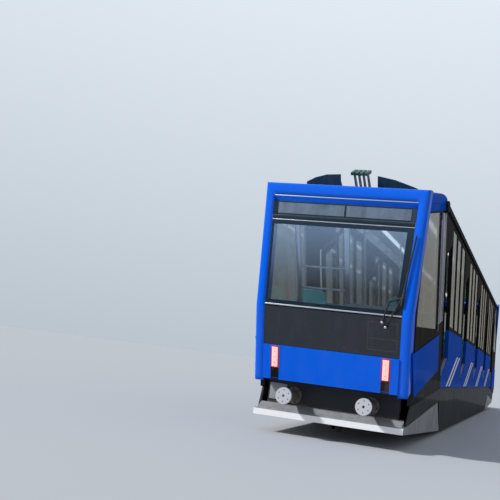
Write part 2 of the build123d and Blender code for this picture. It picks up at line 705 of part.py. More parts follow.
for name, low_key, high_key, depth, thickness in FACE_SHEETS:
    sheets = []
    for end_name, end in ENDS:
        low = FACE[end][low_key] + SHEET_GAP if low_key else NOSE_FOOT
        if name == "top_strips":
            sheets.append(face_sheet(end, low, low + STRIP_BAR, 0, STRIP_DEPTH + SCREEN, SEAT_GAP))
            low += STRIP_BAR + SEAT_GAP
        sheets.append(face_sheet(end, low, FACE[end][high_key] - SHEET_GAP, depth, thickness, SEAT_GAP))
    slots = [lamp_blocks(end, 0, -LAMP_DEPTH, 200) for end_name, end in ENDS]
    with BuildPart() as face_sheets:
        add(sheets)
        if name == "nose_panels":
            add(slots, mode=Mode.SUBTRACT)
    save(face_sheets, name)

lamps = [lamp_blocks(end, -1, -4, LAMP_DEPTH) for end_name, end in ENDS]
with BuildPart() as tail_lamps:
    add(lamps)
save(tail_lamps, "tail_lamps")

# Wiper at the driver's side of each windscreen: two arms, a bracket and the blade. Each point is
# y, height above the arch's foot, and distance in front of the glass
WIPER_GLASS_DEPTH = 6
WIPER_POINTS = {
    1: dict(pivots=((650, 925), (695, 868)), brackets=((713, 1160), (865, 1213)),
            tip=(960, 1900), foot=(858, 1120)),
    -1: dict(pivots=((650, 1855), (695, 1800)), brackets=((713, 2130), (865, 2183)),
             tip=(960, 2900), foot=(858, 2090)),
}
WIPER_ROD = 8
WIPER_STAND = 34
PIVOT_RADIUS = 16


# Where a level pivot starts: clear of the glass, which leans
def pivot_start(end):
    knee_run, knee_rise = FACE[end]["knee"]
    return PIVOT_RADIUS * knee_run / knee_rise + SEAT_GAP - WIPER_GLASS_DEPTH


def face_spot(end, y, height, stand):
    a, b = face_point(end, height, -stand)
    return spot(a, y, b)


with BuildPart() as wipers:
    for end_name, end in ENDS:
        points = WIPER_POINTS[end]
        brackets = [face_spot(end, y, height, WIPER_STAND) for y, height in points["brackets"]]
        for (y, height), bracket in zip(points["pivots"], brackets):
            pivot_end = face_spot(end, y, height, WIPER_STAND + WIPER_ROD)
            rod(face_spot(end, y, height, pivot_start(end)), pivot_end, PIVOT_RADIUS)
            rod(face_spot(end, y, height, WIPER_STAND), bracket, WIPER_ROD)
        rod(brackets[0], brackets[1], WIPER_ROD + 1)
        rod(face_spot(end, *points["foot"], WIPER_STAND - 6), face_spot(end, *points["tip"], WIPER_STAND - 6),
            WIPER_ROD + 3)
save(wipers, "wipers")

# Skirts: folded side plates between the aprons, with an upper band that runs on under the cabs
SKIRT_LEAN = 25
SKIRT_SEAMS = (-4150, -1380, 1380, 4150)
SKIRT_SETBACK = 240
SKIRT_END_X = FOOT_X - SKIRT_SETBACK
SKIRT_END_CHAMFER = 100
skirt_end_top = SILL_HEIGHT - CAB_FALL * (SKIRT_END_X - SKIRT_END_CHAMFER - SKIRT_BREAK_X) - PANEL_GAP
with BuildPart() as skirts:
    for side_name, side in SIDES:
        with BuildSketch(Plane.YZ.offset(-LONG / 2)):
            Polygon((side * SKIRT_HALF_WIDTH, SILL_HEIGHT), (side * SKIRT_HALF_WIDTH, SKIRT_FOLD),
                    (side * (SKIRT_HALF_WIDTH - SKIRT_LEAN), SKIRT_BOTTOM),
                    (side * (SKIRT_INNER - SKIRT_LEAN), SKIRT_BOTTOM),
                    (side * SKIRT_INNER, SKIRT_FOLD), (side * SKIRT_INNER, SILL_HEIGHT), align=None)
        extrude(amount=LONG)
    half = [(APRON_BACK_X - 2 * PANEL_GAP, SKIRT_BOTTOM - 1),
            (APRON_PLATE_X - 2 * PANEL_GAP, SKIRT_FOLD + PANEL_GAP),
            (APRON_PLATE_X, SKIRT_FOLD + 2 * PANEL_GAP),
            (SKIRT_END_X, apron_top(SKIRT_END_X) + 2 * PANEL_GAP),
            (SKIRT_END_X - SKIRT_END_CHAMFER, skirt_end_top),
            (SKIRT_BREAK_X, SILL_HEIGHT - PANEL_GAP)]
    side_outline = half + [(-x, z) for x, z in reversed(half)]
    extrude(outline(track_plane(0), side_outline), amount=2 * BODY_HALF_WIDTH, both=True, mode=Mode.INTERSECT)
    with Locations(*[(x, 0, SILL_HEIGHT / 2) for x in SKIRT_SEAMS]):
        Box(PANEL_GAP, 3 * BODY_HALF_WIDTH, SILL_HEIGHT, mode=Mode.SUBTRACT)
save(skirts, "skirts")

# Rope anchor under the top headstock: a block between the solebars, two hangers, and a socket that
# takes the haul rope's end along the track
ANCHOR_X = 8700
ANCHOR_Z = 150
ANCHOR_BORE = 26
ANCHOR_LENGTH = 300
ANCHOR_RADIUS = 62
ANCHOR_BLOCK = 280
HANGER_Y = 48
HANGER_SHEET = 20
HANGER_HALF_TOP = 140
HANGER_HALF_FOOT = 75
BAR_UNDERSIDE = DECK_HEIGHT - SOLEBAR_DEPTH
with BuildPart() as rope_anchor:
    with Locations((ANCHOR_X, 0, BAR_Z)):
        Box(ANCHOR_BLOCK, 2 * BAY_HALF, SOLEBAR_DEPTH)
    for side in (1, -1):
        hanger_foot = ANCHOR_Z - ANCHOR_RADIUS
        hanger = [(ANCHOR_X - HANGER_HALF_TOP, BAR_UNDERSIDE), (ANCHOR_X - HANGER_HALF_FOOT, hanger_foot),
                  (ANCHOR_X + HANGER_HALF_FOOT, hanger_foot), (ANCHOR_X + HANGER_HALF_TOP, BAR_UNDERSIDE)]
        extrude(outline(track_plane(side * HANGER_Y + HANGER_SHEET / 2), hanger), amount=HANGER_SHEET)
    with Locations(Plane(origin=(ANCHOR_X, 0, ANCHOR_Z), z_dir=(1, 0, 0))):
        Cylinder(ANCHOR_RADIUS, ANCHOR_LENGTH)
        Cylinder(ANCHOR_BORE, 2 * ANCHOR_LENGTH, mode=Mode.SUBTRACT)
save(rope_anchor, "rope_anchor")

# Aprons: a deep lip, a level ledge from it to the headstock, and a long plate that rises behind it
# between two cheeks, open below and behind
APRON_HALF = SKIRT_INNER - SEAT_GAP
ANCHOR_SLOT_HALF = (128, HANGER_Y + HANGER_SHEET / 2 + 2 * PANEL_GAP)
plate_front = APRON_LIP_X - APRON_SHEET - SEAT_GAP
ledge_back = SOLEBAR_HALF + HEADSTOCK_DEPTH + 2 * SEAT_GAP


# Height of the ledge, which lies level on the slope
def ledge_top(x):
    return APRON_LIP_TOP + (APRON_LIP_X - x) * SLOPE


with BuildPart() as aprons:
    for end_name, end in ENDS:
        lip_low = APRON_LIP_TOP - APRON_LIP_DEPTH
        lip_back = APRON_LIP_X - APRON_SHEET
        lip = [(APRON_LIP_X, APRON_LIP_TOP), (APRON_LIP_X, lip_low), (lip_back, lip_low),
               (lip_back, ledge_top(lip_back))]
        ledge = [(plate_front, ledge_top(plate_front)), (plate_front, apron_top(plate_front) + SEAT_GAP),
                 (ledge_back, apron_top(ledge_back) + SEAT_GAP), (ledge_back, ledge_top(ledge_back))]
        for points, half_width in ((lip, APRON_HALF), (ledge, APRON_HALF - APRON_SHEET)):
            extrude(outline(track_plane(0), [(end * x, z) for x, z in points]), amount=half_width, both=True)
        cheek = [(plate_front, apron_top(plate_front)), (plate_front, lip_low), (APRON_BACK_X, SKIRT_BOTTOM),
                 (APRON_PLATE_X, SKIRT_FOLD)]
        for side in (1, -1):
            start = side * (APRON_HALF - APRON_SHEET / 2) + APRON_SHEET / 2
            extrude(outline(track_plane(start), [(end * x, z) for x, z in cheek]), amount=APRON_SHEET)
        plate_top = apron_top(plate_front)
        plate = [(plate_front, plate_top), (APRON_PLATE_X, SKIRT_FOLD),
                 (APRON_PLATE_X, SKIRT_FOLD - APRON_SHEET), (plate_front, plate_top - APRON_SHEET)]
        extrude(outline(track_plane(0), [(end * x, z) for x, z in plate]),
                amount=APRON_HALF - APRON_SHEET - SEAT_GAP, both=True)
    with Locations((ANCHOR_X, 0, apron_top(ANCHOR_X))):
        Box(2 * ANCHOR_SLOT_HALF[0], 2 * ANCHOR_SLOT_HALF[1], 4 * APRON_SHEET, mode=Mode.SUBTRACT)
save(aprons, "aprons")

# Buffers: a round flange on the headstock, a thick stem and a drilled disc. The bottom buffers reach
# as far as the top end's header and wiper do, so the car's middle lies on X = 0
REACH = max(end_arches.part.bounding_box().max.X, wipers.part.bounding_box().max.X)
BUFFER_Y = 517
BUFFER_OUT = 180
BUFFER_FACE_X = {1: FOOT_X + BUFFER_OUT, -1: REACH}
BUFFER_RADIUS = 104
BUFFER_DISC = 30
BUFFER_Z = 500
STEM_RADIUS = 72
BUFFER_BASE = 18
BASE_RADIUS = 108
BUFFER_HOLES = dict(ring=72, count=6, radius=8, depth=14, middle=17)
with BuildPart() as buffers:
    for end_name, end in ENDS:
        base_x = SOLEBAR_HALF + HEADSTOCK_DEPTH + 2 * SEAT_GAP
        disc_x = BUFFER_FACE_X[end] - BUFFER_DISC
        for y in (BUFFER_Y, -BUFFER_Y):
            for start_x, radius, length in ((base_x, BASE_RADIUS, BUFFER_BASE),
                                            (base_x, STEM_RADIUS, disc_x - base_x),
                                            (disc_x, BUFFER_RADIUS, BUFFER_DISC)):
                rod(Vector(end * start_x, y, BUFFER_Z), Vector(end * (start_x + length), y, BUFFER_Z), radius)
            face_plane = Plane(origin=(end * BUFFER_FACE_X[end], y, BUFFER_Z), z_dir=(-end, 0, 0))
            with BuildSketch(face_plane) as holes:
                Circle(BUFFER_HOLES["middle"])
                with PolarLocations(BUFFER_HOLES["ring"], BUFFER_HOLES["count"]):
                    Circle(BUFFER_HOLES["radius"])
            extrude(holes.sketch, amount=BUFFER_HOLES["depth"], mode=Mode.SUBTRACT)
save(buffers, "buffers")

# Wheelsets: an axle with two flanged wheels, turned as one. Half profile: radius, distance from the
# middle
WHEELSET_X = [centre + offset for centre in (BOGIE_X, -BOGIE_X) for offset in (WHEELBASE / 2, -WHEELBASE / 2)]
JOURNAL_END = 790
HUB_RADIUS = 95
RIM_INNER = 190
WHEEL_PROFILE = (
    (0, 0), (AXLE_RADIUS, 0), (AXLE_RADIUS, 460), (HUB_RADIUS, 470), (HUB_RADIUS, 490),
    (RIM_INNER, 500), (FLANGE_RADIUS - 6, 486), (FLANGE_RADIUS, 500),
    (TREAD_RADIUS + 6, 500 + FLANGE_WIDTH), (TREAD_RADIUS, 600), (RIM_INNER, 600),
    (RIM_INNER - 10, 560), (HUB_RADIUS, 555), (HUB_RADIUS, 620), (AXLE_RADIUS, 625),
    (AXLE_RADIUS, JOURNAL_END), (0, JOURNAL_END),
)
for number, x in enumerate(WHEELSET_X, start=1):
    with BuildPart() as wheelset:
        axle_plane = Plane(origin=(x, 0, FLANGE_RADIUS), x_dir=(0, 0, 1), z_dir=(-1, 0, 0))
        revolve(outline(axle_plane, WHEEL_PROFILE), axis=Axis((x, 0, FLANGE_RADIUS), (0, 1, 0)),
                revolution_arc=360)
        mirror(about=Plane.XZ)
    save(wheelset, "wheelset_%d" % number)

# Bogies: side frames outside the wheels with an axle box round each journal, a cross-member with a
# centre pivot and two air springs, and a rail brake between the wheels on each side
SIDE_FRAME_Y = 720
SIDE_FRAME_WIDTH = 90
SIDE_FRAME_POINTS = ((-860, 330), (-860, 260), (-760, 190), (-540, 190), (-430, 300), (430, 300), (540, 190),
                   (760, 190), (860, 260), (860, 330), (560, 400), (-560, 400))
JOURNAL_CLEARANCE = 0.05
AXLE_BOX = dict(length=230, inner=700, outer=815, low=165, high=345)
SWIVEL_RADIUS = 150
CROSS_MEMBER = dict(length=360, height=100, middle=350)
CROSS_MEMBER_TOP = CROSS_MEMBER["middle"] + CROSS_MEMBER["height"] / 2
AIR_SPRING = dict(y=420, radius=105, height=172)
RAIL_BRAKE = dict(y=600, length=240, width=190, low=150, high=300)
BRAKE_JAWS = dict(length=300, thickness=34, low=30, high=160, ys=(515, 585))
for number, centre in enumerate((BOGIE_X, -BOGIE_X), start=1):
    axle_xs = (centre - WHEELBASE / 2, centre + WHEELBASE / 2)
    with BuildPart() as bogie:
        for side in (1, -1):
            y = side * SIDE_FRAME_Y + SIDE_FRAME_WIDTH / 2
            frame_points = [(centre + x, z) for x, z in SIDE_FRAME_POINTS]
            extrude(outline(track_plane(y), frame_points), amount=SIDE_FRAME_WIDTH)
            box_width = AXLE_BOX["outer"] - AXLE_BOX["inner"]
            for x in axle_xs:
                with Locations((x, side * (AXLE_BOX["inner"] + box_width / 2), AXLE_BOX["low"])):
                    Box(AXLE_BOX["length"], box_width, AXLE_BOX["high"] - AXLE_BOX["low"],
                        align=(Align.CENTER, Align.CENTER, Align.MIN))
            with Locations((centre, side * AIR_SPRING["y"], CROSS_MEMBER_TOP + AIR_SPRING["height"] / 2)):
                Cylinder(AIR_SPRING["radius"], AIR_SPRING["height"])
            with Locations((centre, side * RAIL_BRAKE["y"], (RAIL_BRAKE["low"] + RAIL_BRAKE["high"]) / 2)):
                Box(RAIL_BRAKE["length"], RAIL_BRAKE["width"], RAIL_BRAKE["high"] - RAIL_BRAKE["low"])
            for jaw_y in BRAKE_JAWS["ys"]:
                with Locations((centre, side * jaw_y, (BRAKE_JAWS["low"] + BRAKE_JAWS["high"]) / 2)):
                    Box(BRAKE_JAWS["length"], BRAKE_JAWS["thickness"], BRAKE_JAWS["high"] - BRAKE_JAWS["low"])
        with Locations((centre, 0, CROSS_MEMBER["middle"])):
            Box(CROSS_MEMBER["length"], 2 * SIDE_FRAME_Y, CROSS_MEMBER["height"])
        with Locations((centre, 0, (CROSS_MEMBER_TOP + BAR_UNDERSIDE - SEAT_GAP) / 2)):
            Cylinder(SWIVEL_RADIUS, BAR_UNDERSIDE - SEAT_GAP - CROSS_MEMBER_TOP)
        for x in axle_xs:
            with Locations(Plane(origin=(x, 0, FLANGE_RADIUS), z_dir=(0, 1, 0))):
                Cylinder(AXLE_RADIUS + JOURNAL_CLEARANCE, 2 * JOURNAL_END + 10, mode=Mode.SUBTRACT)
    save(bogie, "bogie_%d" % number)

# Inside: low screens at the cabs, a driver's desk, seats, grab poles and hand rails
CAB_EDGE = {1: DOORS[0] + LANDING_LENGTH / 2 - 60, -1: DOORS[-1] - LANDING_LENGTH / 2 + 20}
SCREEN_SHEET = 40
SCREEN_HEIGHT = 1150
SCREEN_Y = 630
SCREEN_HALF = 250
SCREEN_CORNER = 30
with BuildPart() as cab_screens:
    for end_name, end in ENDS:
        floor_b = landing(DOORS[0] if end > 0 else DOORS[-1]) + SEAT_GAP
        a = CAB_EDGE[end]
        for side in (1, -1):
            screen = oblong(side * SCREEN_Y - SCREEN_HALF, floor_b, side * SCREEN_Y + SCREEN_HALF,
                            floor_b + SCREEN_HEIGHT)
            extrude(rounded(cross_plane(a), screen, SCREEN_CORNER), amount=SCREEN_SHEET)
save(cab_screens, "cab_screens")

DESK_Y = (60, 880)
DESK = {1: [(7300, 0), (7620, 0), (7620, 800), (7240, 720)],
        -1: [(-8250, 0), (-7930, 0), (-7870, 720), (-8250, 800)]}
with BuildPart() as desks:
    for end_name, end in ENDS:
        points = [(a, PLATFORM[end] + SEAT_GAP + rise_b) for a, rise_b in DESK[end]]
        extrude(outline(plumb_plane(DESK_Y[1]), points), amount=DESK_Y[1] - DESK_Y[0])
save(desks, "desks")

# Seats: a leg, a cushion and a raked back, each a plain shape that meets the next. The two in each
# cab have low backs
SEAT_WIDTH = 420
SEAT_Y = 650
SEAT_LEG = dict(half=45, width=140, height=370)
CUSHION = dict(back=-190, front=230, height=80)
BACK_FOOT = (-190, -120)
BACK_LEAN = (0.10, 0.15)
SEAT_TREADS = (1, 4)
SEAT_CORNER = 20


def seat(a, b, facing, back_height, y):
    start = y + SEAT_WIDTH / 2
    low = b + SEAT_GAP
    leg_top = low + SEAT_LEG["height"]
    leg = oblong(a - SEAT_LEG["half"], low, a + SEAT_LEG["half"], leg_top)
    extrude(outline(plumb_plane(y + SEAT_LEG["width"] / 2), leg), amount=SEAT_LEG["width"])
    ends = sorted((a + facing * CUSHION["back"], a + facing * CUSHION["front"]))
    cushion_low = leg_top + SEAT_GAP
    cushion_top = cushion_low + CUSHION["height"]
    extrude(rounded(plumb_plane(start), oblong(ends[0], cushion_low, ends[1], cushion_top), SEAT_CORNER),
            amount=SEAT_WIDTH)
    rear, front = BACK_FOOT
    rear_lean, front_lean = (lean * back_height for lean in BACK_LEAN)
    runs = [(rear, 0), (front, 0), (front - front_lean, back_height), (rear - rear_lean, back_height)]
    back = [(a + facing * run, cushion_top + SEAT_GAP + up) for run, up in runs]
    extrude(rounded(plumb_plane(start), back, SEAT_CORNER), amount=SEAT_WIDTH)


HIGH_BACK = 480
LOW_BACK = 200
# Level distance, height, facing, height of the back
SEAT_PLACES = [(6860, PLATFORM[1], 1, LOW_BACK), (-7480, PLATFORM[-1], -1, LOW_BACK)]
for centre in DOORS[1:]:
    for number in SEAT_TREADS:
        a = centre + LANDING_LENGTH / 2 + (number + 0.5) * step_going
        SEAT_PLACES.append((a, landing(centre) + (number + 1) * step_rise, -1, HIGH_BACK))
with BuildPart() as seats:
    for a, b, facing, back_height in SEAT_PLACES:
        for side in (1, -1):
            seat(a, b, facing, back_height, side * SEAT_Y)
save(seats, "seats")

# Grab poles at the doors, and a rail with two posts in front of each windscreen
POLE_RADIUS = 17
POLE_Y = 330
FRONT_POLE_A = {1: 7140, -1: -7740}
FRONT_RAIL_Y = (-670, 0)
FRONT_RAIL_RISES = (850, 1150)
FRONT_RAIL_RADIUS = 14
pole_drop = POLE_Y ** 2 * ROOF_CAMBER / DECK_HALF_WIDTH ** 2
with BuildPart() as grab_poles:
    for centre in DOORS:
        head = rise(ROOF_HEIGHT - ROOF_SHEET - pole_drop, centre) - POLE_RADIUS * SLOPE - 2
        for y in (-POLE_Y, POLE_Y):
            rod(spot(centre, y, landing(centre) + SEAT_GAP), spot(centre, y, head), POLE_RADIUS)
    for end_name, end in ENDS:
        a = FRONT_POLE_A[end]
        floor_b = PLATFORM[end] + SEAT_GAP
        head = FOOT[end][1] + FACE[end]["strip"] - SEAT_GAP
        left, middle = FRONT_RAIL_Y
        rod(spot(a, middle, floor_b), spot(a, middle, head), POLE_RADIUS)
        rod(spot(a, left, floor_b), spot(a, left, floor_b + FRONT_RAIL_RISES[1]), POLE_RADIUS)
        for rail_rise in FRONT_RAIL_RISES:
            rail_b = floor_b + rail_rise
            rod(spot(a, left, rail_b), spot(a, middle, rail_b), FRONT_RAIL_RADIUS)
save(grab_poles, "grab_poles")

# On the hood: two cross plates on braces, and the current collector's arms between them
FAIRING_A = 6100
FAIRING_SHEET = 14
FAIRING_FOOT = hood_top(FAIRING_A + FAIRING_SHEET) + SEAT_GAP
# Outlines: y, height over the foot
FAIRING_PLATES = (
    ((-900, 0), (-392, 0), (-392, 188), (-600, 176), (-765, 130), (-900, 62)),
    ((143, 0), (770, 0), (680, 46), (392, 140), (143, 186)),
)
# Braces behind the plates: y, height
FAIRING_BRACES = ((-765, 110), (-600, 150), (-420, 160), (170, 160), (392, 110), (640, 40))
BRACE_LENGTH = 150
BRACE_WIDTH = 24
with BuildPart() as roof_fairing:
    for plate in FAIRING_PLATES:
        points = [(y, FAIRING_FOOT + up) for y, up in plate]
        extrude(outline(cross_plane(FAIRING_A), points), amount=FAIRING_SHEET)
    for y, height in FAIRING_BRACES:
        back_a = FAIRING_A - BRACE_LENGTH
        brace = [(back_a, hood_top(back_a) + SEAT_GAP), (FAIRING_A + 1, hood_top(FAIRING_A + 1) + SEAT_GAP),
                 (FAIRING_A + 1, FAIRING_FOOT + height)]
        extrude(outline(plumb_plane(y + BRACE_WIDTH / 2), brace), amount=BRACE_WIDTH)
save(roof_fairing, "roof_fairing")

COLLECTOR_A = (5960, 6240)
COLLECTOR_Y = (-200, 40)
COLLECTOR_PLATE = 16
COLLECTOR_ARMS = (-176, -112, -48, 16)
ARM_WIDTH = 18
ARM_HEIGHT = 210
SHOE = dict(width=44, length=230, height=46)
collector_base = [(a, hood_top(a) + SEAT_GAP) for a in COLLECTOR_A]
collector_base += [(a, hood_top(a) + SEAT_GAP + COLLECTOR_PLATE) for a in reversed(COLLECTOR_A)]
arm_top = FAIRING_FOOT + ARM_HEIGHT
with BuildPart() as current_collector:
    extrude(outline(plumb_plane(COLLECTOR_Y[1]), collector_base), amount=COLLECTOR_Y[1] - COLLECTOR_Y[0])
    for y in COLLECTOR_ARMS:
        foot_a = COLLECTOR_A[0] + 40
        low = hood_top(foot_a) + 4
        arm = [(foot_a, low), (foot_a + 90, low + 20), (foot_a + 190, arm_top), (foot_a + 130, arm_top)]
        extrude(outline(plumb_plane(y + ARM_WIDTH / 2), arm), amount=ARM_WIDTH)
save(current_collector, "current_collector")

with BuildPart() as collector_shoes:
    for y in COLLECTOR_ARMS:
        a = COLLECTOR_A[0] + 90
        shoe = oblong(a, arm_top + SEAT_GAP, a + SHOE["length"], arm_top + SEAT_GAP + SHOE["height"])
        extrude(rounded(plumb_plane(y + SHOE["width"] / 2), shoe, 16), amount=SHOE["width"])
save(collector_shoes, "collector_shoes")
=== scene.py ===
"""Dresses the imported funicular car: finishes for every part, trim, lamps, seats, linings and the studio."""

import math

import bmesh
import bpy
from bpy.props import FloatProperty, FloatVectorProperty, IntProperty, PointerProperty
from mathutils import Matrix, Vector


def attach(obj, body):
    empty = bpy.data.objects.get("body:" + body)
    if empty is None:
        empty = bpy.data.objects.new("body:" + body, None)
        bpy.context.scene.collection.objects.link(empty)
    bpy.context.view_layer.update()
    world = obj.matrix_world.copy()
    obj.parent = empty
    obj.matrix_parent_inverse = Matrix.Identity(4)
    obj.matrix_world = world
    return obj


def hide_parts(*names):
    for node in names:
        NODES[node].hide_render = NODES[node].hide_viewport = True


bl_info = {
    "name": "Funicular Car",
    "version": (1, 0, 0),
    "blender": (4, 5, 0),
    "location": "3D View > Sidebar > Funicular",
    "description": "Finishes and trim for a packed funicular car",
    "category": "Object",
}

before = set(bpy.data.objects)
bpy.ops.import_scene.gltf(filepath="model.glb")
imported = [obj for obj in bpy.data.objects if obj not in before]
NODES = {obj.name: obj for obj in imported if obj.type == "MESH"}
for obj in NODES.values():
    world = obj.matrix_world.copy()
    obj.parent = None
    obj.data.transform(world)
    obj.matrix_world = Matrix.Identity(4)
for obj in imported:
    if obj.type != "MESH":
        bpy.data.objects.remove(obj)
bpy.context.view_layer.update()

# The car stands plumb on a slope: a is the level distance up the hill, b the height, both in metres
TILT = math.radians(26.5)
COS = math.cos(TILT)
SIN = math.sin(TILT)
SLOPE = math.tan(TILT)

# Sizes shared with the frame, in metres
BODY_HALF = 1.02
INNER_HALF = 0.96
SILL_Z = 0.79
WINDOW_SILL_Z = 1.75
DOOR_PITCH = 2.8
DOORS = [5.0 - DOOR_PITCH * number for number in range(5)]
HALF_DOOR = 0.39
LANDING_B = 1.2422
LANDING_HALF = 0.6
FLIGHT_STEPS = 7
STEP_GOING = (DOOR_PITCH - 2 * LANDING_HALF) / (FLIGHT_STEPS - 1)
STEP_RISE = DOOR_PITCH * SLOPE / FLIGHT_STEPS
PLATFORM_B = {1: 4.8751, -1: -2.4220}
SIDES = {"left": -1, "right": 1}
ENDS = {"top": 1, "bottom": -1}
LEAVES = ["%s_%d" % (side, number) for side in SIDES for number in range(1, len(DOORS) + 1)]

# End faces: level distance and height of the foot, the face's lean at the knee and at the top, and the
# heights of its joints over the foot
END_FACES = {
    1: {"foot": (8.0328, 4.7314), "knee": (0.17, 0.97), "top": (0.85, 2.41),
        "nose": 0.48, "pane": 1.0, "screen": 1.98, "strip": 2.27},
    -1: {"foot": (-8.6129, -3.5679), "knee": (0.17, 1.9), "top": (0.8, 3.715),
         "nose": 1.2, "pane": 2.0, "screen": 3.2, "strip": 3.5},
}
# Half the arch's width at its foot, how far it flares to its top, and the width of its face
ARCH_HALF = 1.01
ARCH_FLARE = 0.06
ARCH_FACE = 0.125

# Trim lies this far off what carries it
LIFT = 0.0003


def spot(a, y, b):
    """A point in the frame from level distance, y and level height."""
    return Vector((a * COS + b * SIN, y, b * COS - a * SIN))


def face_a(end, height, depth=0.0):
    """Level distance of an end face at a height over its foot, moved in by a depth."""
    face = END_FACES[end]
    knee_run, knee_rise = face["knee"]
    top_run, top_rise = face["top"]
    if height <= knee_rise:
        run = knee_run * height / knee_rise
    else:
        run = knee_run + (top_run - knee_run) * (height - knee_rise) / (top_rise - knee_rise)
    return face["foot"][0] - end * (run + depth)


def face_spot(end, y, height, depth=0.0):
    """A point on an end face, or behind it by a depth."""
    return spot(face_a(end, height, depth), y, END_FACES[end]["foot"][1] + height)


def opening_half(end, height):
    """Half the width of the opening in the arch at a height."""
    knee_rise = END_FACES[end]["knee"][1]
    top_rise = END_FACES[end]["top"][1]
    lean = max(0.0, height - knee_rise) / (top_rise - knee_rise)
    return ARCH_HALF + ARCH_FLARE * lean - ARCH_FACE


def joint_lift(end, joint):
    """How much higher a joint of an end face lies than on the top end."""
    return END_FACES[end][joint] - END_FACES[1][joint]


def rise(z, a):
    """Height of the line that runs along the track at z, above the level distance a."""
    return z / COS + a * SLOPE


def landing(centre):
    """Height of the floor at a door."""
    return LANDING_B + centre * SLOPE


# Settings


class FunicularColours(bpy.types.PropertyGroup):
    """Colours of the bodywork, glass and seats"""
    paint: FloatVectorProperty(name="Paint", description="Blue of the bodywork", subtype="COLOR", size=3,
                               default=(0.001, 0.13, 0.84), min=0.0, max=1.0)
    # Colour of the white lines on the lower walls
    stripes: FloatVectorProperty(name="White wall lines", description="Stripes on the lower walls",
                                 subtype="COLOR", size=3, default=(0.92, 0.94, 0.96), min=0.0, max=1.0)
    pillars: FloatVectorProperty(name="Pillar panes", description="Glass of the pillars behind the cabs",
                                 subtype="COLOR", size=3, default=(0.035, 0.03, 0.16), min=0.0, max=1.0)
    roof: FloatVectorProperty(name="Roof", description="Paint of the roof deck", subtype="COLOR", size=3,
                              default=(0.25, 0.27, 0.29), min=0.0, max=1.0)
    skirts: FloatVectorProperty(name="Skirts", description="Paint of the skirts", subtype="COLOR", size=3,
                                default=(0.055, 0.06, 0.06), min=0.0, max=1.0)
    lips: FloatVectorProperty(name="Lips", description="Lips of the aprons under both ends", subtype="COLOR",
                              size=3, default=(0.92, 0.92, 0.93), min=0.0, max=1.0)
    seats: FloatVectorProperty(name="Seats", description="Moulded seat shells", subtype="COLOR", size=3,
                               default=(0.12, 0.66, 0.64), min=0.0, max=1.0)
    side_glass: FloatVectorProperty(name="Side glass", description="Tint of the side windows",
                                    subtype="COLOR", size=3, default=(0.5, 0.56, 0.57), min=0.0, max=1.0)
    screen_glass: FloatVectorProperty(name="Windscreens", description="Tint of the windscreens",
                                      subtype="COLOR", size=3, default=(0.80, 0.90, 1.0), min=0.0, max=1.0)
    lenses: FloatVectorProperty(name="Lamp lenses", description="Glow of the tail lamps", subtype="COLOR",
                                size=3, default=(0.96, 0.46, 0.42), min=0.0, max=1.0)


class FunicularSizes(bpy.types.PropertyGroup):
    """Sizes of the trim"""
    border_left: FloatProperty(name="Left border", description="Printed border of the screens, plain side",
                               default=0.03, min=0.0, unit="LENGTH")
    border_right: FloatProperty(name="Right border", description="Printed border of the screens, wiper side",
                                default=0.085, min=0.0, unit="LENGTH")
    border_low: FloatProperty(name="Lower border", description="Printed border at the foot of the screens",
                              default=0.05, min=0.01, unit="LENGTH")
    border_high: FloatProperty(name="Upper border", description="Printed border at the head of the screens",
                               default=0.055, min=0.01, unit="LENGTH")
    lamp_rim: FloatProperty(name="Lamp rim", description="Width of the red rim round a lamp's lens",
                            default=0.015, min=0.001, unit="LENGTH")
    stripe_width: FloatProperty(name="Stripe width", description="Level width of a pinstripe",
                                default=0.17, min=0.01, unit="LENGTH")
    stripe_gap: FloatProperty(name="Stripe gap", description="Level gap between two pinstripes",
                              default=0.17, min=0.0, unit="LENGTH")
    screw_radius: FloatProperty(name="Skirt screws", description="Radius of the skirts' screw heads",
                                default=0.009, min=0.001, unit="LENGTH")
    screw_pitch: FloatProperty(name="Screw pitch", description="Distance between screws along the skirts",
                               default=0.35, min=0.05, unit="LENGTH")
    door_edge: FloatProperty(name="Door edges", description="Width of the rubber edges on the doors",
                             default=0.028, min=0.001, unit="LENGTH")
    seam_width: FloatProperty(name="Roof seams", description="Width of the seams across the roof",
                              default=0.03, min=0.001, unit="LENGTH")
    bar_width: FloatProperty(name="Eave bars", description="Width of the bars over the glass eaves",
                             default=0.05, min=0.001, unit="LENGTH")
    light_width: FloatProperty(name="Ceiling lights", description="Width of the two ceiling lights",
                               default=0.08, min=0.01, unit="LENGTH")
    shell_dish: FloatProperty(name="Seat dish", description="How deep the seat shells are dished",
                              default=0.014, min=0.0, unit="LENGTH")
    buffer_bolt: FloatProperty(name="Buffer bolts", description="Radius of the bolts on a buffer's flange",
                               default=0.012, min=0.001, unit="LENGTH")
    box_bolt: FloatProperty(name="Axle box bolts", description="Radius of the bolts on an axle box",
                            default=0.013, min=0.001, unit="LENGTH")
    wheel_bolt: FloatProperty(name="Wheel bolts", description="Radius of the bolts round a wheel's hub",
                              default=0.011, min=0.001, unit="LENGTH")
    buffer_bolts: IntProperty(name="Bolts on a buffer", description="Bolts round each buffer's flange",
                              default=6, min=1)
    wheel_bolts: IntProperty(name="Bolts on a wheel", description="Bolts round each wheel's hub",
                             default=8, min=1)


class FunicularStudio(bpy.types.PropertyGroup):
    """Light and floor of the studio"""
    sun: FloatProperty(name="Sun", description="Strength of the soft sun", default=3.1, min=0.0)
    sun_angle: FloatProperty(name="Sun softness", description="Width of the sun as it is seen",
                             default=math.radians(4), min=0.0, max=math.pi, subtype="ANGLE")
    fill: FloatProperty(name="Fill", description="Strength of the sky's light", default=0.42, min=0.0)
    floor: FloatVectorProperty(name="Floor", description="Colour of the floor", subtype="COLOR", size=3,
                               default=(0.55, 0.57, 0.59), min=0.0, max=1.0)


def colours():
    """The car's colours in this scene."""
    return bpy.context.scene.funicular_colours


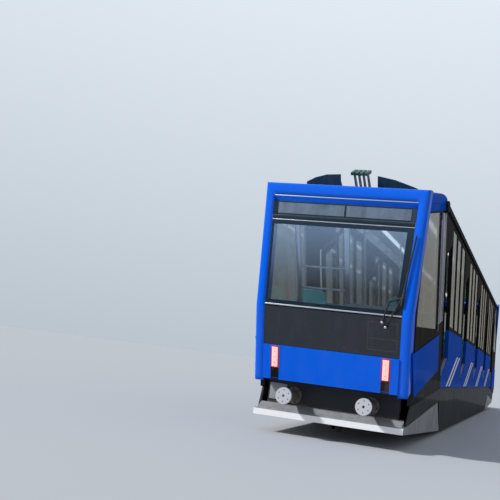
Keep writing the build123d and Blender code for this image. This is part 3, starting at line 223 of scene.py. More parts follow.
def sizes():
    """The trim's sizes in this scene."""
    return bpy.context.scene.funicular_sizes


def studio():
    """The studio's settings in this scene."""
    return bpy.context.scene.funicular_studio


# Node helpers

FLOAT = "NodeSocketFloat"
COLOUR = "NodeSocketColor"


def opaque(colour):
    """A colour with its alpha, as sockets take it."""
    return (*colour, 1.0)


def join(tree, source, target):
    """Links a socket to an input, or sets the input to a plain value."""
    if isinstance(source, bpy.types.NodeSocket):
        tree.links.new(source, target)
    else:
        target.default_value = source


def add_node(tree, node_type, **values):
    """A node whose named inputs are linked or set."""
    node = tree.nodes.new(node_type)
    for key, value in values.items():
        join(tree, value, node.inputs[key.replace("_", " ")])
    return node


def add_math(tree, operation, first, second=0.0, clamp=False):
    """The result of a sum on sockets or numbers."""
    node = tree.nodes.new("ShaderNodeMath")
    node.operation = operation
    node.use_clamp = clamp
    join(tree, first, node.inputs[0])
    join(tree, second, node.inputs[1])
    return node.outputs["Value"]


def add_mix(tree, data_type, share, first, second):
    """A mix of two colours (RGBA) or of two numbers (FLOAT)."""
    node = tree.nodes.new("ShaderNodeMix")
    node.data_type = data_type
    for name, value in (("Factor", share), ("A", first), ("B", second)):
        join(tree, value, node.inputs[name])
    return node.outputs["Result"]


def share_of(tree, value, start, stop):
    """How far a value is from start to stop, from 0 to 1."""
    return add_node(tree, "ShaderNodeMapRange", Value=value, From_Min=start, From_Max=stop).outputs["Result"]


def in_place(tree):
    """The place on the piece, which is the place in the frame."""
    return add_node(tree, "ShaderNodeTexCoord").outputs["Object"]


def apart(tree, vector):
    """The X, Y and Z of a vector."""
    return add_node(tree, "ShaderNodeSeparateXYZ", Vector=vector).outputs


def add_bump(tree, surface, height, strength, distance):
    """A bump on a surface from a height."""
    bump = add_node(tree, "ShaderNodeBump", Strength=strength, Distance=distance, Height=height)
    join(tree, bump.outputs["Normal"], surface.inputs["Normal"])


def new_tree(name, tree_type, inputs, outputs):
    """An empty node group with named sockets, its input node's sockets and its output node's."""
    tree = bpy.data.node_groups.new(name, tree_type)
    for socket, socket_kind, value in inputs:
        made = tree.interface.new_socket(socket, in_out="INPUT", socket_type=socket_kind)
        if value is not None:
            made.default_value = value
    for socket, socket_kind in outputs:
        tree.interface.new_socket(socket, in_out="OUTPUT", socket_type=socket_kind)
    return tree, tree.nodes.new("NodeGroupInput").outputs, tree.nodes.new("NodeGroupOutput").inputs


# Shader groups that several finishes share

GROUPS = {}

# Streaks are stretched along the plumb line, and clouds are finer than streaks
STREAK_STRETCH = (6.0, 6.0, 0.5)
CLOUD_SCALE = 2.2
DIRT_SPAN = (0.2, 0.42)
THROWN_UP_SPAN = (1.4, 0.1)


def build_grime_group():
    """Dirt that gathers in clouds and in streaks that run straight down on the slope."""
    tree, given, out = new_tree(
        "grime", "ShaderNodeTree",
        [("Clean", COLOUR, None), ("Dirt", COLOUR, None), ("Amount", FLOAT, 0.3), ("Scale", FLOAT, 1.0),
         ("Shine", FLOAT, 0.3), ("Dull", FLOAT, 0.6), ("Low", FLOAT, 0.3)],
        [("Color", COLOUR), ("Roughness", FLOAT)])
    place = in_place(tree)
    plumb = add_node(tree, "ShaderNodeMapping", Vector=place, Rotation=(0.0, -TILT, 0.0),
                     Scale=STREAK_STRETCH).outputs["Vector"]
    streak = add_node(tree, "ShaderNodeTexNoise", Vector=plumb, Scale=given["Scale"], Detail=5.0,
                      Roughness=0.65).outputs["Fac"]
    cloud_scale = add_math(tree, "MULTIPLY", given["Scale"], CLOUD_SCALE)
    cloud = add_node(tree, "ShaderNodeTexNoise", Vector=place, Scale=cloud_scale, Detail=6.0,
                     Roughness=0.7).outputs["Fac"]
    mask = share_of(tree, add_math(tree, "MULTIPLY", streak, cloud), *DIRT_SPAN)
    # More dirt low down, where the track throws it up
    low = share_of(tree, apart(tree, place)["Z"], *THROWN_UP_SPAN)
    amount = add_math(tree, "ADD", given["Amount"], add_math(tree, "MULTIPLY", low, given["Low"]))
    share = add_math(tree, "MULTIPLY", mask, amount, clamp=True)
    join(tree, add_mix(tree, "RGBA", share, given["Clean"], given["Dirt"]), out["Color"])
    join(tree, add_mix(tree, "FLOAT", share, given["Shine"], given["Dull"]), out["Roughness"])
    return tree


def build_grain_group():
    """Fine grain for a bump, with a long wave like the pull of a rolled sheet."""
    tree, given, out = new_tree(
        "grain", "ShaderNodeTree", [("Fine", FLOAT, 300.0), ("Wave", FLOAT, 2.0), ("Share", FLOAT, 0.3)],
        [("Height", FLOAT)])
    place = in_place(tree)
    fine = add_node(tree, "ShaderNodeTexNoise", Vector=place, Scale=given["Fine"], Detail=2.0)
    wave = add_node(tree, "ShaderNodeTexNoise", Vector=place, Scale=given["Wave"], Detail=1.0)
    mixed = add_mix(tree, "FLOAT", given["Share"], wave.outputs["Fac"], fine.outputs["Fac"])
    join(tree, mixed, out["Height"])
    return tree


def use_group(tree, name, **values):
    """One of the shared groups placed in a material."""
    node = tree.nodes.new("ShaderNodeGroup")
    node.node_tree = GROUPS[name]
    for key, value in values.items():
        node.inputs[key].default_value = value
    return node.outputs


# Kinds of finish

MATERIALS = {}
DUST = (0.34, 0.31, 0.26)
RUST = (0.22, 0.11, 0.06)
GLASS_DUST = (0.5, 0.5, 0.47)
COAT_ROUGHNESS = 0.06
ROUND_SAMPLES = 6
FILM = {"scale": 1.6, "dull": 0.35}
FLUTES = {"scale": 40.0, "waver": 0.6, "shade": 0.8, "bump": 0.3, "depth": 0.002}


def chosen(colour):
    """A colour as it is, or the user's own where it is given by the name of a setting."""
    return tuple(getattr(colours(), colour)) if isinstance(colour, str) else colour


def shader(name, colour, roughness, metallic=0.0, coat=0.0):
    """A new material with plain values on its shader."""
    material = bpy.data.materials.new(name)
    material.use_nodes = True
    surface = material.node_tree.nodes["Principled BSDF"]
    surface.inputs["Base Color"].default_value = opaque(colour)
    surface.inputs["Roughness"].default_value = roughness
    surface.inputs["Metallic"].default_value = metallic
    surface.inputs["Coat Weight"].default_value = coat
    surface.inputs["Coat Roughness"].default_value = COAT_ROUGHNESS
    return material, material.node_tree, surface


def add_grime(tree, surface, **values):
    """The grime group gives a surface its colour and roughness."""
    grime = use_group(tree, "grime", **values)
    join(tree, grime["Color"], surface.inputs["Base Color"])
    join(tree, grime["Roughness"], surface.inputs["Roughness"])


def finish(name, colour, amount, shine, dull, dirt=DUST, low=0.3, scale=1.0, metallic=0.0, coat=0.0,
           specular=0.4, grain=(300.0, 2.0, 0.3), bump=0.1, bump_distance=0.002, shade=1.0):
    """A painted, plastic or metal finish.

    amount, low and scale are the dirt's; shine and dull are the roughness when clean and when dirty;
    grain is its fine scale, its wave's scale and the fine one's share; shade darkens the colour.
    """
    colour = [shade * part for part in chosen(colour)]
    material, tree, surface = shader(name, colour, shine, metallic, coat)
    surface.inputs["Specular IOR Level"].default_value = specular
    add_grime(tree, surface, Clean=opaque(colour), Dirt=opaque(dirt), Amount=amount, Scale=scale,
              Shine=shine, Dull=dull, Low=low)
    fine, wave, share = grain
    height = use_group(tree, "grain", Fine=fine, Wave=wave, Share=share)["Height"]
    add_bump(tree, surface, height, bump, bump_distance)
    return material


def glass(name, colour, film, roughness=0.02, index=1.45):
    """Clear or tinted glass with a thin uneven film of dust."""
    colour = chosen(colour)
    material, tree, surface = shader(name, colour, roughness)
    surface.inputs["Transmission Weight"].default_value = 1.0
    surface.inputs["IOR"].default_value = index
    add_grime(tree, surface, Clean=opaque(colour), Dirt=opaque(GLASS_DUST), Amount=film,
              Scale=FILM["scale"], Shine=roughness, Dull=FILM["dull"], Low=0.0)
    return material


def lens(name, colour, glow, roughness=0.18, coat=0.5):
    """A moulded lens with fine flutes that glows a little."""
    colour = chosen(colour)
    material, tree, surface = shader(name, colour, roughness, coat=coat)
    surface.inputs["Emission Strength"].default_value = glow
    flutes = add_node(tree, "ShaderNodeTexWave", Vector=in_place(tree), Scale=FLUTES["scale"],
                      Distortion=FLUTES["waver"], Detail=1.0)
    flutes.bands_direction = "Z"
    height = flutes.outputs["Fac"]
    shaded = opaque([FLUTES["shade"] * part for part in colour])
    tone = add_mix(tree, "RGBA", height, shaded, opaque(colour))
    join(tree, tone, surface.inputs["Base Color"])
    join(tree, tone, surface.inputs["Emission Color"])
    add_bump(tree, surface, height, FLUTES["bump"], FLUTES["depth"])
    return material


def rounded(base, name, radius, coat):
    """A copy of a finish round whose edges light runs as it does on a rounded panel."""
    material = base.copy()
    material.name = name
    tree = material.node_tree
    surface = tree.nodes["Principled BSDF"]
    surface.inputs["Coat Weight"].default_value = coat
    bump = surface.inputs["Normal"].links[0].from_node
    soft = add_node(tree, "ShaderNodeBevel", Radius=radius)
    soft.samples = ROUND_SAMPLES
    join(tree, soft.outputs["Normal"], bump.inputs["Normal"])
    return material


def two_tone(base, name, other, limit):
    """A copy of a finish that turns into another colour past a distance along the track, both ways."""
    material = base.copy()
    material.name = name
    tree = material.node_tree
    surface = tree.nodes["Principled BSDF"]
    plain = surface.inputs["Base Color"].links[0].from_socket
    along = add_math(tree, "ABSOLUTE", apart(tree, in_place(tree))["X"])
    past = add_math(tree, "GREATER_THAN", along, limit)
    mixed = add_mix(tree, "RGBA", past, plain, opaque(chosen(other)))
    join(tree, mixed, surface.inputs["Base Color"])
    return material


# Finishes by key. A colour given by name is one of the settings

BODY_FINISHES = {
    "paint": dict(name="blue_coach_paint", colour="paint", amount=0.02, shine=0.2, dull=0.42, low=0.05,
                  specular=0.0, coat=0.2, grain=(420.0, 1.6, 0.12), bump=0.06, bump_distance=0.004),
    # The same blue as the paint, darkened to two thirds: painted shade on the car's sides and hood
    "wall": dict(name="blue_wall_paint", colour="paint", shade=0.66, amount=0.02, shine=0.2, dull=0.42,
                 low=0.04, specular=0.0, coat=0.06, grain=(420.0, 1.6, 0.12), bump=0.06,
                 bump_distance=0.004),
    "black": dict(name="black_gloss_panel", colour=(0.012, 0.012, 0.013), amount=0.05, shine=0.2, dull=0.4,
                  low=0.08, specular=0.0, coat=0.08, grain=(420.0, 2.0, 0.12), bump=0.05),
    "door": dict(name="door_leaf_black", colour=(0.010, 0.011, 0.014), amount=0.05, shine=0.2, dull=0.45,
                 low=0.08, specular=0.0, coat=0.08),
    "roof": dict(name="roof_grey_paint", colour="roof", dirt=(0.13, 0.13, 0.11), amount=0.55, shine=0.45,
                 dull=0.75, scale=0.7, grain=(260.0, 1.2, 0.3), bump=0.2, bump_distance=0.004),
    "skirt": dict(name="skirt_grey_paint", colour="skirts", dirt=(0.10, 0.095, 0.08), amount=0.4, shine=0.42,
                  dull=0.7, low=0.35, specular=0.0, coat=0.1, grain=(260.0, 1.4, 0.3), bump=0.2,
                  bump_distance=0.004),
    "fairing": dict(name="dark_teal_fairing", colour=(0.02, 0.055, 0.075), amount=0.1, shine=0.34, dull=0.6,
                    specular=0.2),
    "sheet": dict(name="apron_grey_sheet", colour=(0.32, 0.33, 0.345), dirt=(0.15, 0.145, 0.13), amount=0.6,
                  shine=0.4, dull=0.65, low=0.1, scale=1.4, specular=0.2, grain=(240.0, 3.0, 0.4),
                  bump=0.25),
}
TRIM_FINISHES = {
    "seal": dict(name="black_rubber_seal", colour=(0.012, 0.012, 0.012), amount=0.12, shine=0.55, dull=0.8,
                 specular=0.0, grain=(500.0, 6.0, 0.6), bump=0.25),
    "frit": dict(name="dark_teal_glass_border", colour=(0.008, 0.02, 0.034), amount=0.03, shine=0.12,
                 dull=0.3, specular=0.5),
    "strip": dict(name="mirrored_strip_glass", colour=(0.30, 0.30, 0.29), dirt=(0.07, 0.08, 0.09),
                  amount=0.6, shine=0.08, dull=0.2, low=0.0, scale=1.2, metallic=0.85,
                  grain=(300.0, 1.2, 0.05), bump=0.05, bump_distance=0.004),
    "low": dict(name="dark_lower_glass", colour=(0.008, 0.012, 0.022), dirt=(0.040, 0.046, 0.060),
                amount=0.3, shine=0.07, dull=0.3, low=0.0, scale=1.5, specular=0.6,
                grain=(500.0, 1.4, 0.05), bump=0.04, bump_distance=0.004),
    "pillar": dict(name="violet_pillar_glass", colour="pillars", dirt=(0.10, 0.09, 0.16), amount=0.3,
                   shine=0.1, dull=0.25, low=0.0, scale=2.0, specular=0.3),
    "trim": dict(name="pale_metal_trim", colour=(0.62, 0.64, 0.66), amount=0.15, shine=0.3, dull=0.5,
                 metallic=0.5, grain=(600.0, 8.0, 0.5), bump=0.15),
    "line": dict(name="dark_joint_line", colour=(0.07, 0.075, 0.08), amount=0.1, shine=0.4, dull=0.6,
                 specular=0.2),
    "rubber": dict(name="wiper_rubber", colour=(0.02, 0.02, 0.02), amount=0.2, shine=0.5, dull=0.75,
                   specular=0.2),
    "white": dict(name="white_stripe", colour="stripes", amount=0.08, shine=0.4, dull=0.5, specular=0.1),
    "plate": dict(name="pale_grey_plate", colour=(0.30, 0.31, 0.32), amount=0.3, shine=0.4, dull=0.6,
                  scale=3.0),
}
GEAR_FINISHES = {
    "chassis": dict(name="chassis_black_paint", colour=(0.03, 0.031, 0.033), dirt=RUST, amount=0.4,
                    shine=0.5, dull=0.85, scale=2.0, low=0.2, specular=0.25, grain=(160.0, 5.0, 0.5),
                    bump=0.4, bump_distance=0.004),
    "beam": dict(name="headstock_black_paint", colour=(0.018, 0.019, 0.022), dirt=(0.045, 0.042, 0.04),
                 amount=0.35, shine=0.4, dull=0.7, scale=1.5, low=0.0, specular=0.25,
                 grain=(200.0, 4.0, 0.4), bump=0.2),
    "wheel": dict(name="wheel_steel", colour=(0.3, 0.27, 0.25), dirt=RUST, amount=0.6, shine=0.32, dull=0.75,
                  scale=3.0, metallic=0.9, grain=(240.0, 14.0, 0.6), bump=0.3),
    "stem": dict(name="buffer_brown_grey", colour=(0.13, 0.115, 0.10), dirt=RUST, amount=0.25, shine=0.4,
                 dull=0.7, low=0.05, scale=3.0, grain=(180.0, 9.0, 0.5), bump=0.3),
    "collector": dict(name="collector_grey", colour=(0.2, 0.21, 0.21), dirt=RUST, amount=0.35, shine=0.45,
                      dull=0.7, scale=5.0, grain=(300.0, 9.0, 0.5), bump=0.3),
    "shoe": dict(name="collector_shoe_green", colour=(0.02, 0.075, 0.045), amount=0.25, shine=0.4, dull=0.7,
                 scale=5.0),
}
INSIDE_FINISHES = {
    "floor": dict(name="ribbed_floor_rubber", colour=(0.07, 0.075, 0.08), amount=0.35, shine=0.6, dull=0.85,
                  low=0.0, scale=2.0, grain=(350.0, 20.0, 0.5), bump=0.4),
    "seat": dict(name="teal_seat_shell", colour="seats", dirt=(0.06, 0.4, 0.4), amount=0.2, shine=0.3,
                 dull=0.5, low=0.0, scale=4.0, grain=(700.0, 10.0, 0.6), bump=0.1),
    "inner": dict(name="inner_grey_panel", colour=(0.5, 0.51, 0.53), dirt=(0.3, 0.3, 0.3), amount=0.3,
                  shine=0.45, dull=0.65, low=0.0, scale=2.5, grain=(600.0, 4.0, 0.5), bump=0.2),
    "pole": dict(name="brushed_metal_tube", colour=(0.90, 0.91, 0.93), dirt=(0.6, 0.6, 0.6), amount=0.1,
                 shine=0.32, dull=0.45, low=0.0, scale=6.0, metallic=0.85, grain=(900.0, 30.0, 0.4),
                 bump=0.05),
    "lining": dict(name="pale_ceiling_lining", colour=(0.74, 0.76, 0.78), dirt=(0.5, 0.5, 0.48), amount=0.25,
                   shine=0.5, dull=0.7, low=0.0, scale=1.5, grain=(500.0, 2.0, 0.4), bump=0.1),
}
GLASSES = {
    "dark": dict(name="tinted_side_glass", colour="side_glass", film=0.02),
    "screen": dict(name="windscreen_glass", colour="screen_glass", film=0.01, index=2.7),
}
LENSES = {
    "lens": dict(name="pink_lamp_lens", colour="lenses", glow=0.85),
    "red": dict(name="red_lamp_rim", colour=(0.62, 0.02, 0.015), glow=0.18),
    "dot": dict(name="lamp_diode_cap", colour=(0.2, 0.02, 0.02), glow=0.0),
    "light": dict(name="ceiling_light_strip", colour=(0.85, 0.87, 0.9), glow=1.2),
}

# Where the apron's lip turns white and a buffer's stem meets its disc, along the track
LIP_FACE_X = 9.2285
DISC_BACK_X = 9.4495
DISC_GREY = (0.56, 0.57, 0.60)
ARCH_ROUND = 0.09
ARCH_COAT = 0.45

# Which finish each node of the frame takes
NODE_FINISH = {
    "arch": ["end_arches"],
    "paint": ["nose_panels", "cab_cladding"],
    # Lower walls and hood take the blue darkened to two thirds: painted shade
    "wall": ["lower_walls", "cab_hood"],
    "black": ["window_frames", "cab_walls", "cant_rails", "eave_caps"],
    "door": ["door_" + leaf for leaf in LEAVES],
    "dark": ["door_glass_" + leaf for leaf in LEAVES] + ["window_glass", "cab_glass", "eave_glass"],
    "screen": ["windscreens"],
    "strip": ["top_strips"],
    "low": ["lower_screens"],
    "chassis": ["underframe", "bogie_1", "bogie_2", "rope_anchor", "door_runners"],
    "wheel": ["wheelset_%d" % number for number in range(1, 5)],
    "roof": ["roof_deck"],
    "fairing": ["roof_fairing"],
    "skirt": ["skirts"],
    "apron": ["aprons"],
    "buffer": ["buffers"],
    "floor": ["floor_stairs"],
    "seat": ["seats"],
    "inner": ["cab_screens", "desks"],
    "pole": ["grab_poles"],
    "red": ["tail_lamps"],
    "collector": ["current_collector"],
    "shoe": ["collector_shoes"],
    "rubber": ["wipers"],
}


def build_finishes():
    """Every finish of the car."""
    GROUPS["grime"] = build_grime_group()
    GROUPS["grain"] = build_grain_group()
    families = ((finish, BODY_FINISHES), (finish, TRIM_FINISHES), (finish, GEAR_FINISHES),
                (finish, INSIDE_FINISHES), (glass, GLASSES), (lens, LENSES))
    for make, family in families:
        for key, values in family.items():
            MATERIALS[key] = make(**values)
    MATERIALS["arch"] = rounded(MATERIALS["paint"], "blue_coach_paint_rounded", ARCH_ROUND, ARCH_COAT)
    MATERIALS["apron"] = two_tone(MATERIALS["sheet"], "apron_grey_white_lip", "lips", LIP_FACE_X)
    MATERIALS["buffer"] = two_tone(MATERIALS["stem"], "buffer_pale_disc", DISC_GREY, DISC_BACK_X)


def dress_nodes():
    """Every node of the frame gets its finish."""
    for key, names in NODE_FINISH.items():
        for name in names:
            mesh = NODES[name].data
            mesh.materials.clear()
            mesh.materials.append(MATERIALS[key])


# Shapes for meshes


def rectangle(start, stop, low, high):
    """Corners of an upright rectangle, from level distances and heights."""
    return (start, low), (stop, low), (stop, high), (start, high)


def add_rings(shape, rings):
    """A closed skin over rings of equally many corners."""
    count = len(rings[0])
    for first, second in zip(rings, rings[1:]):
        for index in range(count):
            after = (index + 1) % count
            shape.faces.new((first[index], first[after], second[after], second[index]))
    shape.faces.new(rings[0])
    shape.faces.new(list(reversed(rings[-1])))


def add_prism(shape, outline, push):
    """A closed solid from a flat outline pushed along a vector."""
    low = [shape.verts.new(point) for point in outline]
    high = [shape.verts.new(point + push) for point in outline]
    shape.faces.new(low)
    shape.faces.new(list(reversed(high)))
    for index in range(len(outline)):
        after = (index + 1) % len(outline)
        shape.faces.new((low[after], low[index], high[index], high[after]))


def add_across(shape, corners, y, push):
    """A prism from a side view of level distances and heights at y, pushed across the car."""
    add_prism(shape, [spot(a, y, b) for a, b in corners], Vector((0, push, 0)))


def add_block(shape, first, second):
    """A box between two opposite corners in the frame."""
    low = [min(pair) for pair in zip(first, second)]
    high = [max(pair) for pair in zip(first, second)]
    corners = ((low[0], low[1]), (high[0], low[1]), (high[0], high[1]), (low[0], high[1]))
    add_prism(shape, [Vector((x, y, low[2])) for x, y in corners], Vector((0, 0, high[2] - low[2])))


def add_rod(shape, start, end, radius, segments):
    """A round rod between two points."""
    axis = end - start
    turn = Vector((0, 0, 1)).rotation_difference(axis).to_matrix().to_4x4()
    bmesh.ops.create_cone(shape, cap_ends=True, segments=segments, radius1=radius, radius2=radius,
                          depth=axis.length, matrix=Matrix.Translation((start + end) / 2) @ turn)


def around(centre, axis, radius, count):
    """Points on a circle square to an axis."""
    side = axis.orthogonal().normalized()
    other = axis.cross(side)
    angles = [2 * math.pi * step / count for step in range(count)]
    return [centre + side * (radius * math.cos(angle)) + other * (radius * math.sin(angle))
            for angle in angles]


def add_turned(shape, origin, axis, profile, segments):
    """A turned solid that starts and ends on its axis: a profile of distance along it and radius."""
    points = [origin + axis * along for along, radius in profile]
    rings = [[shape.verts.new(point) for point in around(centre, axis, radius, segments)]
             for centre, (along, radius) in list(zip(points, profile))[1:-1]]
    for first, second in zip(rings, rings[1:]):
        for step in range(segments):
            after = (step + 1) % segments
            shape.faces.new((first[after], first[step], second[step], second[after]))
    foot, tip = shape.verts.new(points[0]), shape.verts.new(points[-1])
    for step in range(segments):
        after = (step + 1) % segments
        shape.faces.new((foot, rings[0][step], rings[0][after]))
        shape.faces.new((rings[-1][after], rings[-1][step], tip))


def add_plate(shape, end, rows, depth, thick):
    """A thin plate on an end face between two rows of (height, y from, y to)."""
    (low, low_from, low_to), (high, high_from, high_to) = rows
    corners = [face_spot(end, low_from, low, depth), face_spot(end, low_to, low, depth),
               face_spot(end, high_to, high, depth), face_spot(end, high_from, high, depth)]
    add_prism(shape, corners, spot(end * thick, 0.0, 0.0))


def add_patch(shape, end, heights, ys, depth, thick):
    """A plate on an end face with upright sides."""
    add_plate(shape, end, [(height, *ys) for height in heights], depth, thick)


def add_belt(shape, end, heights, margins, depth, thick):
    """A plate right across the opening of an end face, short of its edges by a margin left and right."""
    left, right = margins
    rows = [(height, left - opening_half(end, height), opening_half(end, height) - right)
            for height in heights]
    add_plate(shape, end, rows, depth, thick)


# Pieces

MERGE_DISTANCE = 1e-6
BEVEL_ANGLE = math.radians(30)


def fill_mesh(name, build):
    """A new object whose mesh comes from a function that fills a bmesh."""
    shape = bmesh.new()
    build(shape)
    bmesh.ops.remove_doubles(shape, verts=shape.verts, dist=MERGE_DISTANCE)
    bmesh.ops.recalc_face_normals(shape, faces=shape.faces)
    mesh = bpy.data.meshes.new(name)
    shape.to_mesh(mesh)
    shape.free()
    return place_mesh(name, mesh)


def place_mesh(name, mesh):
    """A mesh as an object of the scene."""
    piece = bpy.data.objects.new(name, mesh)
    bpy.context.scene.collection.objects.link(piece)
    return piece


def bake_modifiers(piece):
    """The evaluated mesh takes the place of the mesh and its modifiers."""
    graph = bpy.context.evaluated_depsgraph_get()
    graph.update()
    mesh = bpy.data.meshes.new_from_object(piece.evaluated_get(graph))
    piece.modifiers.clear()
    piece.data = mesh


def settle(piece, material, body, smooth=40.0):
    """Material, shading and body of a finished piece."""
    mesh = piece.data
    mesh.materials.clear()
    mesh.materials.append(MATERIALS[material])
    mesh.polygons.foreach_set("use_smooth", [True] * len(mesh.polygons))
    mesh.set_sharp_from_angle(angle=math.radians(smooth))
    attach(piece, body)
    return piece


def mesh_piece(name, build, material, slot, body="car", bevel=0.0, segments=2, smooth=40.0):
    """A new piece from a function that fills a bmesh. It is bevelled, shaded and rides on a body."""
    piece = fill_mesh(name, build)
    if bevel:
        modifier = piece.modifiers.new("Bevel", "BEVEL")
        modifier.width = bevel
        modifier.segments = segments
        modifier.limit_method = "ANGLE"
        modifier.angle_limit = BEVEL_ANGLE
        modifier.use_clamp_overlap = True
        bake_modifiers(piece)
    return settle(piece, material, body, smooth)


def kind(build, material, slot, **look):
    """A kind of piece: it is named after the function that fills its bmesh."""
    return build, material, slot, look


def add_kinds(kinds, label, *place):
    """A piece of each kind, whose function takes the bmesh and the place's signs."""
    for build, material, slot, look in kinds:
        mesh_piece(build.__name__ + "_" + label, lambda shape: build(shape, *place), material, slot, **look)


def on_ends(*kinds):
    """Pieces on each end face."""
    for end_name, end in ENDS.items():
        add_kinds(kinds, end_name, end)


def on_sides(*kinds):
    """Pieces on each side."""
    for side_name, side in SIDES.items():
        add_kinds(kinds, side_name, side)


def on_corners(*kinds):
    """Pieces on both sides of each end face."""
    for end_name, end in ENDS.items():
        for side_name, side in SIDES.items():
            add_kinds(kinds, "%s_%s" % (end_name, side_name), end, side)


# Repeats by geometry nodes

TREES = {}
GEOMETRY = "NodeSocketGeometry"
STUD_TAPER = 0.7


def end_tree(tree, given, out, placed):
    """Realizes the instances and gives them their material."""
    solid = add_node(tree, "GeometryNodeRealizeInstances", Geometry=placed.outputs["Instances"])
    painted = add_node(tree, "GeometryNodeSetMaterial", Geometry=solid.outputs["Geometry"],
                       Material=given["Material"])
    join(tree, painted.outputs["Geometry"], out["Result"])


def build_stud_tree():
    """Studs on points, each turned the way its point faces."""
    tree, given, out = new_tree(
        "studs", "GeometryNodeTree",
        [("Points", GEOMETRY, None), ("Radius", FLOAT, 0.008), ("Height", FLOAT, 0.005),
         ("Sides", "NodeSocketInt", 8), ("Material", "NodeSocketMaterial", None)], [("Result", GEOMETRY)])
    top = add_math(tree, "MULTIPLY", given["Radius"], STUD_TAPER)
    head = add_node(tree, "GeometryNodeMeshCone", Vertices=given["Sides"], Radius_Bottom=given["Radius"],
                    Radius_Top=top, Depth=given["Height"])
    facing = add_node(tree, "GeometryNodeInputNamedAttribute", Name="facing")
    facing.data_type = "FLOAT_VECTOR"
    turn = add_node(tree, "FunctionNodeAlignRotationToVector", Vector=facing.outputs["Attribute"])
    turn.axis = "Z"
    placed = add_node(tree, "GeometryNodeInstanceOnPoints", Points=given["Points"],
                      Instance=head.outputs["Mesh"], Rotation=turn.outputs["Rotation"])
    end_tree(tree, given, out, placed)
    return tree


def build_row_tree():
    """A shape repeated along a straight line."""
    tree, given, out = new_tree(
        "row", "GeometryNodeTree",
        [("Shape", GEOMETRY, None), ("Count", "NodeSocketInt", 2), ("Offset", "NodeSocketVector", None),
         ("Material", "NodeSocketMaterial", None)], [("Result", GEOMETRY)])
    line = add_node(tree, "GeometryNodeMeshLine", Count=given["Count"], Offset=given["Offset"])
    placed = add_node(tree, "GeometryNodeInstanceOnPoints", Points=line.outputs["Mesh"],
                      Instance=given["Shape"])
    end_tree(tree, given, out, placed)
    return tree


def grow(piece, tree_name, **values):
    """Runs a tree on a piece and keeps the result as its mesh."""
    modifier = piece.modifiers.new("Grow", "NODES")
    modifier.node_group = TREES[tree_name]
    for item in TREES[tree_name].interface.items_tree:
        if item.in_out == "INPUT" and item.name in values:
            modifier[item.identifier] = values[item.name]
    bake_modifiers(piece)


def add_studs(name, points, radius, height, material, body="car", sides=6):
    """Studs on a list of points, each a place and the way it faces."""
    mesh = bpy.data.meshes.new(name)
    mesh.from_pydata([place for place, facing in points], [], [])
    ways = mesh.attributes.new("facing", "FLOAT_VECTOR", "POINT")
    ways.data.foreach_set("vector", [part for place, facing in points for part in facing])
    piece = place_mesh(name, mesh)
    grow(piece, "studs", Radius=radius, Height=height, Sides=sides, Material=MATERIALS[material])
    settle(piece, material, body, smooth=35.0)


def add_row(name, build, count, offset, material):
    """A shape from a function that fills a bmesh, repeated along a line."""
    piece = fill_mesh(name, build)
    grow(piece, "row", Count=count, Offset=offset, Material=MATERIALS[material])
    settle(piece, material, "car")


class FUNICULAR_OT_finishes(bpy.types.Operator):
    """Builds the finishes and dresses every part of the frame"""
    bl_idname = "funicular.finishes"
    bl_label = "Dress The Frame"

    def execute(self, context):
        TREES["studs"] = build_stud_tree()
        TREES["row"] = build_row_tree()
        build_finishes()
        dress_nodes()
        return {"FINISHED"}


# Windscreens: a printed border, wider beside the wiper, and a pale line in the joint below
BORDER_IN = 0.002
BORDER_JOINT = 0.006
BORDER_LIFT = 0.0004
PRINT_THICK = 0.0012
SCREEN_LINE = {"below": 0.008, "margins": (0.003, 0.003), "lift": 0.0005, "thick": 0.005}


def screen_border(shape, end):
    """The dark border of a windscreen: two uprights and two bands across."""
    widths = sizes()
    low = END_FACES[end]["pane"] + BORDER_JOINT
    high = END_FACES[end]["screen"] - BORDER_JOINT
    for side, width in ((-1, widths.border_left), (1, widths.border_right)):
        edges = [(height, opening_half(end, height) - BORDER_IN) for height in (low, high)]
        rows = [(height, side * (edge - width), side * edge) for height, edge in edges]
        add_plate(shape, end, rows, -BORDER_LIFT, PRINT_THICK)
    margins = (BORDER_IN + widths.border_left, BORDER_IN + widths.border_right)
    foot = (low, END_FACES[end]["pane"] + widths.border_low)
    head = (END_FACES[end]["screen"] - widths.border_high, high)
    for heights in (foot, head):
        add_belt(shape, end, heights, margins, -BORDER_LIFT, PRINT_THICK)


def screen_line(shape, end):
    """The pale line in the joint between the windscreen and the dark screen below it."""
    pane = END_FACES[end]["pane"]
    add_belt(shape, end, (pane - SCREEN_LINE["below"], pane + BORDER_JOINT), SCREEN_LINE["margins"],
             -SCREEN_LINE["lift"], SCREEN_LINE["thick"])


class FUNICULAR_OT_screen_trim(bpy.types.Operator):
    """Adds the printed border and the pale joint line of both windscreens"""
    bl_idname = "funicular.screen_trim"
    bl_label = "Trim The Windscreens"

    def execute(self, context):
        on_ends(kind(screen_border, "frit", "black_frame"),
                kind(screen_line, "trim", "pole_steel", bevel=0.0015))
        return {"FINISHED"}


# Top strips: the pane lies back in the header, over a bar that is flush with the windscreen
PANE_DEPTH = 0.0445
BAR_TOP = 0.053
LEDGE_DROP = 0.085
CHAMFER_DROP = 0.004
STRIP_IN = 0.002
BAR_MARGINS = (0.004, 0.004)
BAR_LIFT = 0.0002
# How wide the cheek beside the pane is on each side
CHEEKS = {-1: 0.05, 1: 0.075}
DIVIDER = {"ys": (0.007, 0.027), "thick": 0.012}
PANE_EDGE = {"low": 0.012, "high": 0.010, "thick": 0.008}
STRIP_LINE_THICK = 0.005
# Where both lines run against a joint of the end face, and how deep they lie
STRIP_LINES = (("strip", (-0.014, -0.004), 0.004), ("screen", (-0.003, 0.004), -0.0004))


def pane_heights(end):
    """Foot and head of the pane in a top strip."""
    return END_FACES[end]["screen"] + BAR_TOP, END_FACES[end]["strip"] - LEDGE_DROP


